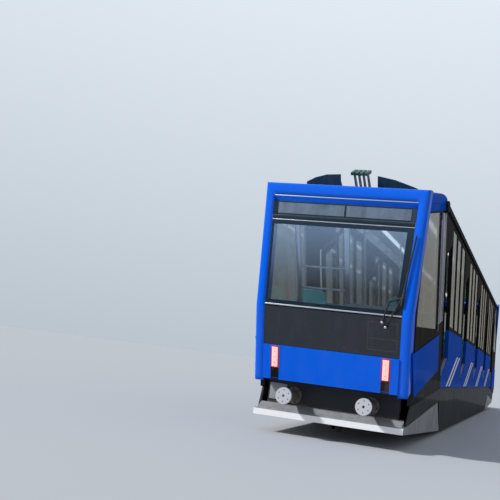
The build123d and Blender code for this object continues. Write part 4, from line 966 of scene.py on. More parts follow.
def strip_chamfer(shape, end):
    """The slanted face from the header's edge down to the head of the pane."""
    top = END_FACES[end]["strip"] - CHAMFER_DROP
    head = pane_heights(end)[1]
    reach = opening_half(end, head) - STRIP_IN
    corners = ((top, 0.0), (top, PANE_DEPTH), (head, PANE_DEPTH))
    outline = [face_spot(end, -reach, height, depth) for height, depth in corners]
    add_prism(shape, outline, Vector((0, 2 * reach, 0)))


def strip_cheeks(shape, end):
    """A slanted cheek on each side of the pane."""
    low, high = pane_heights(end)
    for side, width in CHEEKS.items():
        rings = []
        for height in (low + STRIP_IN, high + 2 * STRIP_IN):
            edge = opening_half(end, height) - STRIP_IN
            corners = ((edge, 0.0), (edge, PANE_DEPTH), (edge - width, PANE_DEPTH))
            rings.append([shape.verts.new(face_spot(end, side * y, height, depth)) for y, depth in corners])
        add_rings(shape, rings)


def strip_bars(shape, end):
    """The bar's face, the divider in the middle of the pane and the pane's lower and upper edges."""
    low, high = pane_heights(end)
    bar = (END_FACES[end]["screen"] + BAR_MARGINS[0], low - STRIP_IN)
    add_belt(shape, end, bar, BAR_MARGINS, -BAR_LIFT, PRINT_THICK)
    add_patch(shape, end, (low, high), DIVIDER["ys"], PANE_DEPTH, DIVIDER["thick"])
    margins = (CHEEKS[-1], CHEEKS[1])
    for heights in ((low, low + PANE_EDGE["low"]), (high - PANE_EDGE["high"], high)):
        add_belt(shape, end, heights, margins, PANE_DEPTH, PANE_EDGE["thick"])


def strip_lines(shape, end):
    """A pale line along the header's edge, and one in the joint over the windscreen."""
    for joint, shifts, depth in STRIP_LINES:
        heights = [END_FACES[end][joint] + shift for shift in shifts]
        add_belt(shape, end, heights, BAR_MARGINS, depth, STRIP_LINE_THICK)


class FUNICULAR_OT_strip_trim(bpy.types.Operator):
    """Adds chamfer, cheeks, bars and lines round the pane of both top strips"""
    bl_idname = "funicular.strip_trim"
    bl_label = "Trim The Top Strips"

    def execute(self, context):
        on_ends(kind(strip_chamfer, "paint", "blue_paint", bevel=0.002),
                kind(strip_cheeks, "frit", "black_frame"),
                kind(strip_bars, "frit", "black_frame", bevel=0.001),
                kind(strip_lines, "trim", "pole_steel", bevel=0.001))
        return {"FINISHED"}


# Tail lamps: a rim, a glowing lens with three caps, and a dark recess below. Each reaches past its slot,
# up to the top edge of the nose and down to its foot
LAMP_SLOT = {"ys": (0.669, 0.776), "low": 0.06, "high": 0.43}
LAMP_TOP = 0.474
LAMP_FOOT = 0.042
RECESS_SHARE = 0.36
NOSE_PROUD = 0.012
SLOT_DEPTH = -0.004
RECESS_GAP = 0.002
LENS_LIFT = 0.0005
# Thickness of the rim in its slot and over the nose, of the lens and of the recess
LAMP_THICK = {"rim": 0.008, "cover": 0.003, "lens": 0.012, "recess": 0.002}
LAMP_CAPS = {"shares": (0.25, 0.5, 0.75), "radius": 0.006, "depths": (-0.024, -0.0285)}


def lamp_heights(end):
    """Heights of a lamp: its foot and top, those of its slot, and where lens and recess meet."""
    lift = joint_lift(end, "nose")
    low, high = LAMP_SLOT["low"] + lift, LAMP_SLOT["high"] + lift
    return {"foot": LAMP_FOOT + lift, "low": low, "split": low + RECESS_SHARE * (high - low), "high": high,
            "top": LAMP_TOP + lift}


def lamp_ys(side, inset=0.0):
    """Both sides of a lamp, moved in by an inset."""
    first, last = sorted(side * y for y in LAMP_SLOT["ys"])
    return first + inset, last - inset


def lamp_rim(shape, end, side):
    """The red rim behind the lens, in the slot and over the nose above it."""
    at = lamp_heights(end)
    add_patch(shape, end, (at["split"], at["high"]), lamp_ys(side), SLOT_DEPTH, LAMP_THICK["rim"])
    add_patch(shape, end, (at["high"], at["top"]), lamp_ys(side), -NOSE_PROUD - LIFT, LAMP_THICK["cover"])


def lamp_lens(shape, end, side):
    """The glowing lens, in from its rim all round."""
    at = lamp_heights(end)
    rim = sizes().lamp_rim
    add_patch(shape, end, (at["split"] + rim, at["top"] - rim), lamp_ys(side, rim), -NOSE_PROUD - LENS_LIFT,
              LAMP_THICK["lens"])


def lamp_caps(shape, end, side):
    """Three small caps up the middle of the lens."""
    at = lamp_heights(end)
    middle = sum(lamp_ys(side)) / 2
    for share in LAMP_CAPS["shares"]:
        height = at["split"] + share * (at["top"] - at["split"])
        start, tip = (face_spot(end, middle, height, depth) for depth in LAMP_CAPS["depths"])
        add_rod(shape, start, tip, LAMP_CAPS["radius"], segments=10)


def lamp_recess(shape, end, side):
    """The dark recess under the lens, in the slot and over the nose below it."""
    at = lamp_heights(end)
    add_patch(shape, end, (at["low"], at["split"] - RECESS_GAP), lamp_ys(side), SLOT_DEPTH,
              LAMP_THICK["recess"])
    add_patch(shape, end, (at["foot"], at["low"]), lamp_ys(side), -NOSE_PROUD - LIFT, PRINT_THICK)


class FUNICULAR_OT_lamps(bpy.types.Operator):
    """Adds rims, lenses, caps and recesses to the four tail lamps"""
    bl_idname = "funicular.lamps"
    bl_label = "Fit The Tail Lamps"

    def execute(self, context):
        on_corners(kind(lamp_rim, "red", "lamp", bevel=0.002),
                   kind(lamp_lens, "lens", "lamp", bevel=0.004, segments=3),
                   kind(lamp_caps, "dot", "lamp"),
                   kind(lamp_recess, "seal", "black_frame"))
        return {"FINISHED"}


# Service hatch in each lower screen: y range, heights over the foot, width of its outline
HATCH_YS = (0.47, 0.84)
HATCH_HEIGHTS = (0.56, 0.70, 0.90)
HATCH_LINE = 0.004
HATCH_DEPTH = 0.0058


def hatch_outline(shape, end):
    """The fine outline of a hatch, with a line across it."""
    heights = [height + joint_lift(end, "pane") for height in HATCH_HEIGHTS]
    start, stop = HATCH_YS
    for height in heights:
        add_patch(shape, end, (height, height + HATCH_LINE), HATCH_YS, HATCH_DEPTH, PRINT_THICK)
    for y in (start, stop - HATCH_LINE):
        add_patch(shape, end, (heights[0], heights[-1]), (y, y + HATCH_LINE), HATCH_DEPTH, PRINT_THICK)


class FUNICULAR_OT_hatches(bpy.types.Operator):
    """Adds the outline of the service hatch to both lower screens"""
    bl_idname = "funicular.hatches"
    bl_label = "Outline The Hatches"

    def execute(self, context):
        on_ends(kind(hatch_outline, "line", "black_frame"))
        return {"FINISHED"}


# Wiper pivots: y and height of each on an end face, and how far its top stands off the glass
WIPER_PIVOTS = {1: ((0.650, 0.925), (0.695, 0.868)), -1: ((0.650, 1.855), (0.695, 1.800))}
WIPER_STAND = 0.0425
COLLAR_LIFT = 0.002
CAP_LIFT = 0.0005
# Profiles of collar and cap: height and radius
COLLAR = ((0.0, 0.0), (0.0, 0.028), (0.006, 0.028), (0.009, 0.024), (0.009, 0.0))
CAP = ((0.0, 0.0), (0.0, 0.017), (0.003, 0.0165), (0.006, 0.013), (0.008, 0.007), (0.0085, 0.0))


def add_on_pivots(shape, end, depth, profile, segments):
    """The same turned piece on both pivots of a wiper."""
    for y, height in WIPER_PIVOTS[end]:
        add_turned(shape, face_spot(end, y, height, depth), spot(end, 0.0, 0.0), profile, segments)


def wiper_collars(shape, end):
    """A collar on the glass round each pivot."""
    add_on_pivots(shape, end, -COLLAR_LIFT, COLLAR, segments=20)


def wiper_caps(shape, end):
    """A domed cap on each pivot."""
    add_on_pivots(shape, end, -WIPER_STAND - CAP_LIFT, CAP, segments=16)


class FUNICULAR_OT_wiper_caps(bpy.types.Operator):
    """Adds collars and domed caps to the wipers' pivots"""
    bl_idname = "funicular.wiper_caps"
    bl_label = "Cap The Wipers"

    def execute(self, context):
        on_ends(kind(wiper_collars, "rubber", "wiper_black", smooth=30.0),
                kind(wiper_caps, "trim", "wiper_black"))
        return {"FINISHED"}


# Headstocks: a black face each, and a pale plate outside one buffer
BEAM_FRONT_X = 9.0503
BEAM_FACE = {"half": 0.875, "z": (0.40, 0.695), "thick": 0.0015}
BEAM_PLATE = {"y": (0.63, 0.86), "z": (0.42, 0.63), "thick": 0.008}


def headstock_face(shape, end):
    """The black face of a headstock."""
    front = end * (BEAM_FRONT_X + LIFT)
    half, (low, high) = BEAM_FACE["half"], BEAM_FACE["z"]
    add_block(shape, (front, -half, low), (front + end * BEAM_FACE["thick"], half, high))


def headstock_plates(shape, end):
    """The pale plate on a headstock's face."""
    front = end * (BEAM_FRONT_X + LIFT)
    (first, last), (low, high) = BEAM_PLATE["y"], BEAM_PLATE["z"]
    add_block(shape, (front + end * BEAM_FACE["thick"], -end * first, low),
              (front + end * BEAM_PLATE["thick"], -end * last, high))


class FUNICULAR_OT_headstocks(bpy.types.Operator):
    """Adds the faces and plates of both headstocks"""
    bl_idname = "funicular.headstocks"
    bl_label = "Face The Headstocks"

    def execute(self, context):
        on_ends(kind(headstock_face, "beam", "black_frame"),
                kind(headstock_plates, "plate", "apron_grey", bevel=0.002))
        return {"FINISHED"}


# White lines on the lower walls: pairs that lean down the hill as they rise
STRIPE_FOOT = -0.28
STRIPE_LEAN = -1.416
STRIPE_ZS = (0.02, 0.57)
STRIPE_PROUD = 0.0008


def pinstripes(shape, side):
    """Two thin white lines on the blue wall below each door but the lowest."""
    width = sizes().stripe_width
    low, high = (SILL_Z + z for z in STRIPE_ZS)
    for centre in DOORS[:-1]:
        for number in range(2):
            foot = centre + STRIPE_FOOT - number * (width + sizes().stripe_gap)
            top = foot + STRIPE_LEAN
            corners = ((foot, low), (foot - width, low), (top - width, high), (top, high))
            add_across(shape, [(a, rise(z, a)) for a, z in corners], side * (BODY_HALF + LIFT),
                       side * STRIPE_PROUD)


class FUNICULAR_OT_pinstripes(bpy.types.Operator):
    """Adds the pairs of white lines to both lower walls"""
    bl_idname = "funicular.pinstripes"
    bl_label = "Stripe The Walls"

    def execute(self, context):
        on_sides(kind(pinstripes, "white", "apron_grey"))
        return {"FINISHED"}


# Cab sides, as level distances and heights: cladding panels that stop behind the legs of the arch, a
# brow over the top cab's window, and narrow pillar panes behind both cab windows
CLADDING = (((5.78, 4.06), (7.725, 4.604), (7.875, 5.262), (5.78, 4.65)),
            ((-6.90, -2.60), (-8.38, -3.409), (-8.28, -2.549), (-6.90, -1.90)))
BROW = ((5.50, 6.50), (7.097, 6.853), (7.049, 6.940), (5.50, 6.588))
# Start and stop, foot and head of each pillar pane
PILLAR_PANES = ((5.46, 5.86, 4.75, 6.45), (-6.98, -6.68, -1.15, 0.25))
PILLAR_TRIM = {"before": 0.022, "after": 0.006, "width": 0.012, "proud": 0.006}
CLADDING_THICK = 0.0137
PLATE_PROUD = 0.004


def add_side_plate(shape, side, corners, proud=PLATE_PROUD):
    """A thin plate on a side wall, from level distances and heights."""
    add_across(shape, corners, side * (BODY_HALF + LIFT), side * proud)


def cladding(shape):
    """The blue panels low on the cab walls."""
    for side in SIDES.values():
        for corners in CLADDING:
            add_side_plate(shape, side, corners, CLADDING_THICK)


def cab_brow(shape, side):
    """The blue brow over the top cab's side window."""
    add_side_plate(shape, side, BROW)


def pillar_panes(shape, side):
    """The violet panes behind the cab windows, whose foot and head rise up the hill."""
    for start, stop, low, high in PILLAR_PANES:
        climb = SLOPE * (stop - start) / 2
        add_side_plate(shape, side, ((start, low), (stop, low + climb), (stop, high + climb), (start, high)))


def pillar_trims(shape, side):
    """A pale trim along each upright edge of the pillar panes."""
    for start, stop, low, high in PILLAR_PANES:
        for a in (start - PILLAR_TRIM["before"], stop + PILLAR_TRIM["after"]):
            corners = rectangle(a, a + PILLAR_TRIM["width"], low, high)
            add_side_plate(shape, side, corners, PILLAR_TRIM["proud"])


class FUNICULAR_OT_cladding(bpy.types.Operator):
    """Puts round-edged cladding panels in place of the plain ones"""
    bl_idname = "funicular.cladding"
    bl_label = "Clad The Cabs"

    def execute(self, context):
        # The panels take the blue darkened for the walls: painted shade
        panels = mesh_piece("cladding_panels", cladding, "wall", "blue_paint", bevel=0.004, segments=3)
        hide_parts("cab_cladding")
        return {"FINISHED"}


class FUNICULAR_OT_cab_sides(bpy.types.Operator):
    """Adds brows, pillar panes and their trims to both sides of the cabs"""
    bl_idname = "funicular.cab_sides"
    bl_label = "Trim The Cab Sides"

    def execute(self, context):
        # The brow takes the blue darkened for the walls: painted shade
        on_sides(kind(cab_brow, "wall", "blue_paint", bevel=0.0015),
                 kind(pillar_panes, "pillar", "dark_glass", bevel=0.001),
                 kind(pillar_trims, "trim", "pole_steel", bevel=0.001))
        return {"FINISHED"}


# Skirt screws: along the upper edge and down both sides of each seam
SKIRT_HALF = 1.01
SKIRT_TOP_Z = 0.765
SCREW_REACH = 5.95
SKIRT_SEAMS = (-4.15, -1.38, 1.38, 4.15)
SEAM_SHIFT = 0.05
SEAM_ZS = (0.60, 0.68)
SCREW_HEIGHT = 0.004


def screw_places():
    """Where the screws of a skirt are, as (x, z)."""
    gaps = round(2 * SCREW_REACH / sizes().screw_pitch)
    places = [(SCREW_REACH * (2 * step / gaps - 1), SKIRT_TOP_Z) for step in range(gaps + 1)]
    for seam in SKIRT_SEAMS:
        places += [(seam + shift, z) for shift in (-SEAM_SHIFT, SEAM_SHIFT) for z in SEAM_ZS]
    return places


class FUNICULAR_OT_skirt_screws(bpy.types.Operator):
    """Adds the round screw heads that hold the skirts"""
    bl_idname = "funicular.skirt_screws"
    bl_label = "Screw The Skirts On"

    def execute(self, context):
        for side_name, side in SIDES.items():
            points = [((x, side * SKIRT_HALF, z), (0.0, side, 0.0)) for x, z in screw_places()]
            add_studs("skirt_screws_" + side_name, points, sizes().screw_radius, SCREW_HEIGHT, "skirt",
                      sides=8)
        return {"FINISHED"}


# Doors: a rubber edge down both sides of each leaf
LEAF = {"outer": 0.93, "half": 0.408, "foot": 0.015, "head": 1.975}
EDGE_PROUD = 0.006


def add_door_edges(shape, side, centre):
    """The two rubber edges of one leaf."""
    width = sizes().door_edge
    low, high = landing(centre) + LEAF["foot"], landing(centre) + LEAF["head"]
    for start in (centre - LEAF["half"], centre + LEAF["half"] - width):
        add_across(shape, rectangle(start, start + width, low, high), side * (LEAF["outer"] + LIFT),
                   side * EDGE_PROUD)


class FUNICULAR_OT_door_edges(bpy.types.Operator):
    """Adds rubber edges to every door leaf, which ride with it"""
    bl_idname = "funicular.door_edges"
    bl_label = "Edge The Doors"

    def execute(self, context):
        for side_name, side in SIDES.items():
            for number, centre in enumerate(DOORS, start=1):
                leaf = "%s_%d" % (side_name, number)
                mesh_piece("door_edges_" + leaf, lambda shape: add_door_edges(shape, side, centre), "seal",
                           "door_dark", "leaf_" + leaf, bevel=0.002)
        return {"FINISHED"}


# Roof: seams across the deck, bars over the glass eaves
DECK_HALF = 0.76
DECK_EDGE_Z = 3.565
DECK_CAMBER = 0.045
EAVE_FOOT = (1.015, 3.4803)
ROOF_START_X = -6.2
ROOF_PITCH = 1.0
ROOF_SEAMS = 13
SEAM_STOP = 0.01
SEAM_POINTS = 13
SEAM_PROUD = 0.006
EAVE_POINTS = 9
BAR_PROUD = 0.005


def deck_z(y):
    """Height of the cambered deck."""
    return DECK_EDGE_Z + DECK_CAMBER * (1 - (y / DECK_HALF) ** 2)


def eave_points():
    """Points down the outside of the glass eave, from the deck to the gutter, as (y, z)."""
    start = Vector((DECK_HALF + LIFT, DECK_EDGE_Z))
    tangent = Vector((1.0, -2 * DECK_CAMBER / DECK_HALF)).normalized()
    inward = Vector((tangent.y, -tangent.x))
    chord = Vector(EAVE_FOOT) - start
    radius = chord.length_squared / (2 * chord.dot(inward))
    centre = start + inward * radius
    turn = 2 * math.asin(chord.length / (2 * radius))
    angles = [turn * step / (EAVE_POINTS - 1) for step in range(EAVE_POINTS)]
    return [centre - inward * (radius * math.cos(angle)) + tangent * (radius * math.sin(angle))
            for angle in angles]


def add_band(shape, width, line, proud):
    """A thin band across the roof that follows rows of (y, z, way out), proud of them by a height."""
    section = ((0.0, 0.0), (width, 0.0), (width, proud), (0.0, proud))
    add_rings(shape, [[shape.verts.new((ROOF_START_X + shift, y + out[0] * up, z + out[1] * up))
                       for shift, up in section] for y, z, out in line])


def roof_seam(shape):
    """One seam across the deck."""
    reach = DECK_HALF - SEAM_STOP
    ys = [reach * (2 * step / (SEAM_POINTS - 1) - 1) for step in range(SEAM_POINTS)]
    add_band(shape, sizes().seam_width, [(y, deck_z(y), (0.0, 1.0)) for y in ys], SEAM_PROUD)


def eave_bar(shape):
    """One bar down each glass eave."""
    points = eave_points()
    for side in SIDES.values():
        line = []
        for index, point in enumerate(points):
            ahead = points[min(index + 1, EAVE_POINTS - 1)] - points[max(index - 1, 0)]
            out = Vector((-ahead.y, ahead.x)).normalized()
            line.append((side * point.x, point.y, (side * out.x, out.y)))
        add_band(shape, sizes().bar_width, line, BAR_PROUD)


class FUNICULAR_OT_roof_bands(bpy.types.Operator):
    """Adds seams across the roof deck and bars over the eaves, in a row down the car"""
    bl_idname = "funicular.roof_bands"
    bl_label = "Seam The Roof"

    def execute(self, context):
        offset = (ROOF_PITCH, 0.0, 0.0)
        add_row("roof_seams", roof_seam, ROOF_SEAMS, offset, "roof")
        add_row("eave_bars", eave_bar, ROOF_SEAMS, offset, "black")
        return {"FINISHED"}


# Floor: nosings on the steps of each flight, and three ribs in each doorway
NOSING = {"back": 0.001, "front": 0.045, "top": 0.004, "margin": 0.02}
THRESHOLD = {"half": 0.38, "insets": (0.006, 0.022, 0.038), "width": 0.012, "top": 0.003}


def flight_nosing(shape):
    """The nosing on the first step above each door but the highest."""
    for centre in DOORS[1:]:
        a = centre + LANDING_HALF
        b = landing(centre) + STEP_RISE
        corners = rectangle(a + NOSING["back"], a + NOSING["front"], b + LIFT, b + NOSING["top"])
        reach = INNER_HALF - NOSING["margin"]
        add_across(shape, corners, -reach, 2 * reach)


def door_thresholds(shape):
    """Metal ribs on the floor in each doorway."""
    half = THRESHOLD["half"]
    for side in SIDES.values():
        for centre in DOORS:
            low, high = landing(centre) + LIFT, landing(centre) + THRESHOLD["top"]
            for inset in THRESHOLD["insets"]:
                add_across(shape, rectangle(centre - half, centre + half, low, high),
                           side * (INNER_HALF + inset), side * THRESHOLD["width"])


class FUNICULAR_OT_nosings(bpy.types.Operator):
    """Adds metal nosings to the steps"""
    bl_idname = "funicular.nosings"
    bl_label = "Edge The Steps"

    def execute(self, context):
        add_row("step_nosings", flight_nosing, FLIGHT_STEPS - 1, spot(STEP_GOING, 0.0, STEP_RISE), "trim")
        return {"FINISHED"}


class FUNICULAR_OT_thresholds(bpy.types.Operator):
    """Adds metal thresholds to the doorways"""
    bl_idname = "funicular.thresholds"
    bl_label = "Lay The Thresholds"

    def execute(self, context):
        mesh_piece("door_thresholds", door_thresholds, "trim", "steel")
        return {"FINISHED"}


# Seats: one moulded shell each, on a steel leg. The two in each cab have low backs
SEAT_Y = 0.65
SEAT_HALF = 0.21
SEAT_LEG = {"half": 0.045, "across": 0.07, "height": 0.37, "into": 0.004}
SEAT_RUN = (-0.19, 0.23)
SEAT_TOP = 0.45
SEAT_CENTRE = (0.02, 0.41)
SEAT_GAP = 0.001
BACK_FRONT = -0.12
# Lean of the back's rear and front, for each metre of its height
BACK_LEAN = (0.10, 0.15)
SHELL_ROUND = 0.022
CORNER_SHARE = 0.45
BACK_ROUND = 0.12
LOW_BACK = 0.2
HIGH_BACK = 0.48
SEAT_TREADS = (1, 4)
CAB_SEAT_A = {1: 6.86, -1: -7.48}
# Where the shell is cut across, as shares of its half width
SHELL_STATIONS = (-1.0, -0.985, -0.94, -0.86, -0.6, -0.3, 0.0, 0.3, 0.6, 0.86, 0.94, 0.985, 1.0)


def seat_places():
    """Level distance, floor height, facing and back height of each pair of seats."""
    places = [(CAB_SEAT_A[end], PLATFORM_B[end], end, LOW_BACK) for end in ENDS.values()]
    for centre in DOORS[1:]:
        for tread in SEAT_TREADS:
            a = centre + LANDING_HALF + (tread + 0.5) * STEP_GOING
            places.append((a, landing(centre) + (tread + 1) * STEP_RISE, -1, HIGH_BACK))
    return places


def round_corner(before, corner, after, radius, steps=4):
    """Points of a curve that rounds a corner of an outline of (run, up)."""
    back = (before - corner).normalized()
    on = (after - corner).normalized()
    angle = back.angle(on) / 2
    sides = (before - corner).length, (after - corner).length
    reach = min(radius / math.tan(angle), CORNER_SHARE * min(sides))
    start, stop = corner + back * reach, corner + on * reach
    shares = [step / steps for step in range(steps + 1)]
    return [start * (1 - share) ** 2 + corner * (2 * share * (1 - share)) + stop * share ** 2
            for share in shares]


def shell_outline(back_height):
    """The side view of a shell as (run, up), with its corners rounded, and which points carry a sitter."""
    rear, front = SEAT_RUN
    top = SEAT_TOP + back_height
    # Corner, its radius and whether it carries a sitter
    corners = [
        (Vector((front, SEAT_LEG["height"])), 0.03, False),
        (Vector((front, SEAT_TOP)), 0.035, True),
        (Vector((BACK_FRONT, SEAT_TOP)), 0.05, True),
        (Vector((BACK_FRONT - BACK_LEAN[1] * back_height, top)), 0.02, True),
        (Vector((rear - BACK_LEAN[0] * back_height, top)), 0.02, False),
        (Vector((rear, SEAT_LEG["height"])), 0.07, False),
    ]
    points = []
    for index, (corner, radius, carries) in enumerate(corners):
        before = corners[index - 1][0]
        after = corners[(index + 1) % len(corners)][0]
        points += [(point, carries) for point in round_corner(before, corner, after, radius)]
    return points


def fall_in(distance, start, radius):
    """How far an edge that is rounded from start on has fallen in at a distance."""
    past = max(0.0, distance - start) / radius
    return radius * (1 - math.sqrt(max(0.0, 1 - past * past)))


def shell_ring(shape, outline, top, station, place):
    """One cut through a shell: its outline moved in by the rounding and the dish."""
    a, b, facing, middle_y = place
    y = station * SEAT_HALF
    inset = fall_in(abs(y), SEAT_HALF - SHELL_ROUND, SHELL_ROUND)
    limit = top - fall_in(abs(y), SEAT_HALF - BACK_ROUND, BACK_ROUND)
    dish = sizes().shell_dish * math.cos(0.5 * math.pi * station) ** 2
    ring = []
    for index, (point, carries) in enumerate(outline):
        ahead = outline[(index + 1) % len(outline)][0] - outline[index - 1][0]
        outward = Vector((-ahead.y, ahead.x)).normalized()
        if outward.dot(point - Vector(SEAT_CENTRE)) < 0 and not carries:
            outward = -outward
        moved = point - outward * (inset + (dish if carries else 0.0))
        up = min(moved.y, limit)
        ring.append(shape.verts.new(spot(a + facing * moved.x, middle_y + y, b + up)))
    return ring


def seat_shells(shape):
    """Every seat's shell, dished in the middle and rounded at its edges."""
    for a, b, facing, back_height in seat_places():
        outline = shell_outline(back_height)
        for side in SIDES.values():
            place = (a, b + SEAT_GAP, facing, side * SEAT_Y)
            add_rings(shape, [shell_ring(shape, outline, SEAT_TOP + back_height, station, place)
                              for station in SHELL_STATIONS])


def seat_legs(shape):
    """A leg from the floor into each shell."""
    half, across = SEAT_LEG["half"], SEAT_LEG["across"]
    for a, b, facing, back_height in seat_places():
        corners = rectangle(a - half, a + half, b + SEAT_GAP, b + SEAT_LEG["height"] + SEAT_LEG["into"])
        for side in SIDES.values():
            add_across(shape, corners, side * SEAT_Y - across, 2 * across)


class FUNICULAR_OT_seats(bpy.types.Operator):
    """Puts moulded shells in place of the plain seats, with a leg below each"""
    bl_idname = "funicular.seats"
    bl_label = "Mould The Seats"

    def execute(self, context):
        shells = mesh_piece("seat_shells", seat_shells, "seat", "seat_teal")
        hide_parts("seats")
        mesh_piece("seat_legs", seat_legs, "inner", "inner_grey", bevel=0.008)
        return {"FINISHED"}


# White posts behind each windscreen, over the rail's post and the pole in the middle
POST_A = {1: 7.14, -1: -7.74}
POST_YS = (-0.67, 0.0)
POST = {"half": 0.024, "across": 0.032, "foot_gap": 0.002, "head_gap": 0.004}
POST_FOOT = {"half": 0.05, "across": 0.055, "thick": 0.008}


def front_posts(shape, end):
    """Two flat posts from platform to header, each with a foot plate."""
    a, low = POST_A[end], PLATFORM_B[end] + POST["foot_gap"]
    high = END_FACES[end]["foot"][1] + END_FACES[end]["strip"] - POST["head_gap"]
    for y in POST_YS:
        for sizing, head in ((POST, high), (POST_FOOT, low + POST_FOOT["thick"])):
            half, across = sizing["half"], sizing["across"]
            add_across(shape, rectangle(a - half, a + half, low, head), y - across, 2 * across)


class FUNICULAR_OT_front_posts(bpy.types.Operator):
    """Adds white posts behind both windscreens"""
    bl_idname = "funicular.front_posts"
    bl_label = "Put Up The Posts"

    def execute(self, context):
        on_ends(kind(front_posts, "pole", "pole_steel", bevel=0.006))
        return {"FINISHED"}


# Linings: pale cambered sheets under the roof deck, grey panels inside the lower walls
ROOF_SHEET = 0.04
CEILING = {"x": (-6.35, 7.2), "half": 0.74, "gap": 0.001, "thick": 0.005, "joint": 0.006, "points": 9}
SIDE_LINING = {"margin": 0.012, "gap": 0.0005, "thick": 0.004}


def ceiling_lining(shape):
    """Sheets under the deck, with a joint between each and the next."""
    start, stop = CEILING["x"]
    count = ROOF_SEAMS + 1
    length = (stop - start) / count
    ys = [CEILING["half"] * (2 * step / (CEILING["points"] - 1) - 1) for step in range(CEILING["points"])]
    rows = [(y, deck_z(y) - ROOF_SHEET - CEILING["gap"]) for y in ys]
    rows += [(y, z - CEILING["thick"]) for y, z in reversed(rows)]
    for number in range(count):
        first = start + number * length + CEILING["joint"] / 2
        add_prism(shape, [Vector((first, y, z)) for y, z in rows], Vector((length - CEILING["joint"], 0, 0)))


def side_linings(shape):
    """A thin panel inside each bay of the lower walls between two doors, as high as the window sill."""
    margin = SIDE_LINING["margin"]
    for side in SIDES.values():
        y = side * (INNER_HALF - SIDE_LINING["gap"])
        for upper, lower in zip(DOORS, DOORS[1:]):
            corners = rectangle(lower + HALF_DOOR + margin, upper - HALF_DOOR - margin, SILL_Z + margin,
                                WINDOW_SILL_Z - margin)
            add_across(shape, [(a, rise(z, a)) for a, z in corners], y, -side * SIDE_LINING["thick"])


class FUNICULAR_OT_linings(bpy.types.Operator):
    """Adds the ceiling's lining and the linings inside the lower walls"""
    bl_idname = "funicular.linings"
    bl_label = "Line The Inside"

    def execute(self, context):
        mesh_piece("ceiling_lining", ceiling_lining, "lining", "inner_grey")
        mesh_piece("side_linings", side_linings, "inner", "inner_grey")
        return {"FINISHED"}


# Ceiling lights: two long strips along the deck
LIGHT_XS = (-6.4, 7.3)
LIGHT_ZS = (3.5285, 3.5485)
LIGHT_Y = 0.5


def ceiling_lights(shape):
    """A long strip of light on each side of the ceiling."""
    (start, stop), (low, high) = LIGHT_XS, LIGHT_ZS
    half = sizes().light_width / 2
    for side in SIDES.values():
        middle = side * LIGHT_Y
        add_block(shape, (start, middle - half, low), (stop, middle + half, high))


class FUNICULAR_OT_ceiling_lights(bpy.types.Operator):
    """Adds the two long ceiling lights"""
    bl_idname = "funicular.ceiling_lights"
    bl_label = "Hang The Lights"

    def execute(self, context):
        mesh_piece("ceiling_lights", ceiling_lights, "light", "lamp", bevel=0.006)
        return {"FINISHED"}


# Buffers and running gear: bolts on flanges, axle boxes and wheels; dark plugs paint shade in the discs'
# holes
FLANGE = {"y": 0.517, "z": 0.5, "face": 9.0689, "ring": 0.09}
AXLE_BOX = {"y": 0.815, "side": 0.085, "up": 0.068}
HUB = {"y": 0.5553, "ring": 0.145}
AXLE_Z = 0.255
BOGIE_XS = (5.6, -5.6)
HALF_BASE = 0.65
BOLT_HEIGHTS = {"buffer": 0.01, "box": 0.01, "wheel": 0.008}
DISC_FACE_X = {1: 9.480, -1: 9.638667}
DISC_HOLES = {"ring": 0.072, "count": 6, "radius": 0.0077, "middle": 0.0167, "sunk": 0.0025, "length": 0.010}


def ring_points(centre, axis, radius, count):
    """Points on a circle square to an axis, each facing along it."""
    axis = Vector(axis)
    return [(point, axis) for point in around(Vector(centre), axis, radius, count)]


def bolt_buffers():
    """Bolt heads round the flange of each buffer."""
    for end_name, end in ENDS.items():
        points = []
        for y in (-FLANGE["y"], FLANGE["y"]):
            points += ring_points((end * FLANGE["face"], y, FLANGE["z"]), (end, 0, 0), FLANGE["ring"],
                                  sizes().buffer_bolts)
        add_studs("buffer_bolts_" + end_name, points, sizes().buffer_bolt, BOLT_HEIGHTS["buffer"], "chassis")


def bolt_axle_boxes():
    """Four bolt heads on each axle box, which ride with its bogie."""
    corners = [(across, up) for across in (-AXLE_BOX["side"], AXLE_BOX["side"])
               for up in (-AXLE_BOX["up"], AXLE_BOX["up"])]
    for number, centre in enumerate(BOGIE_XS, start=1):
        points = [((x + across, side * AXLE_BOX["y"], AXLE_Z + up), (0.0, side, 0.0))
                  for x in (centre - HALF_BASE, centre + HALF_BASE) for side in SIDES.values()
                  for across, up in corners]
        add_studs("axle_box_bolts_%d" % number, points, sizes().box_bolt, BOLT_HEIGHTS["box"], "chassis",
                  "bogie_%d" % number)


def bolt_wheels():
    """Bolt heads round the hub of each wheel, which turn with its wheelset."""
    wheel_xs = [centre + shift for centre in BOGIE_XS for shift in (HALF_BASE, -HALF_BASE)]
    for number, x in enumerate(wheel_xs, start=1):
        points = []
        for side in SIDES.values():
            points += ring_points((x, side * HUB["y"], AXLE_Z), (0, side, 0), HUB["ring"],
                                  sizes().wheel_bolts)
        add_studs("wheel_bolts_%d" % number, points, sizes().wheel_bolt, BOLT_HEIGHTS["wheel"], "wheel",
                  "wheels_%d" % number)


def disc_plugs(shape, end):
    """Dark plugs sunk in the holes of both buffers' discs: painted shade in the holes."""
    near = end * (DISC_FACE_X[end] - DISC_HOLES["sunk"])
    far = near - end * DISC_HOLES["length"]
    angles = [2 * math.pi * step / DISC_HOLES["count"] for step in range(DISC_HOLES["count"])]
    ring = DISC_HOLES["ring"]
    holes = [(0.0, 0.0, DISC_HOLES["middle"])]
    holes += [(ring * math.sin(angle), ring * math.cos(angle), DISC_HOLES["radius"]) for angle in angles]
    for middle in (-FLANGE["y"], FLANGE["y"]):
        for across, up, radius in holes:
            start, tip = (Vector((x, middle + across, FLANGE["z"] + up)) for x in (far, near))
            add_rod(shape, start, tip, radius, segments=18)


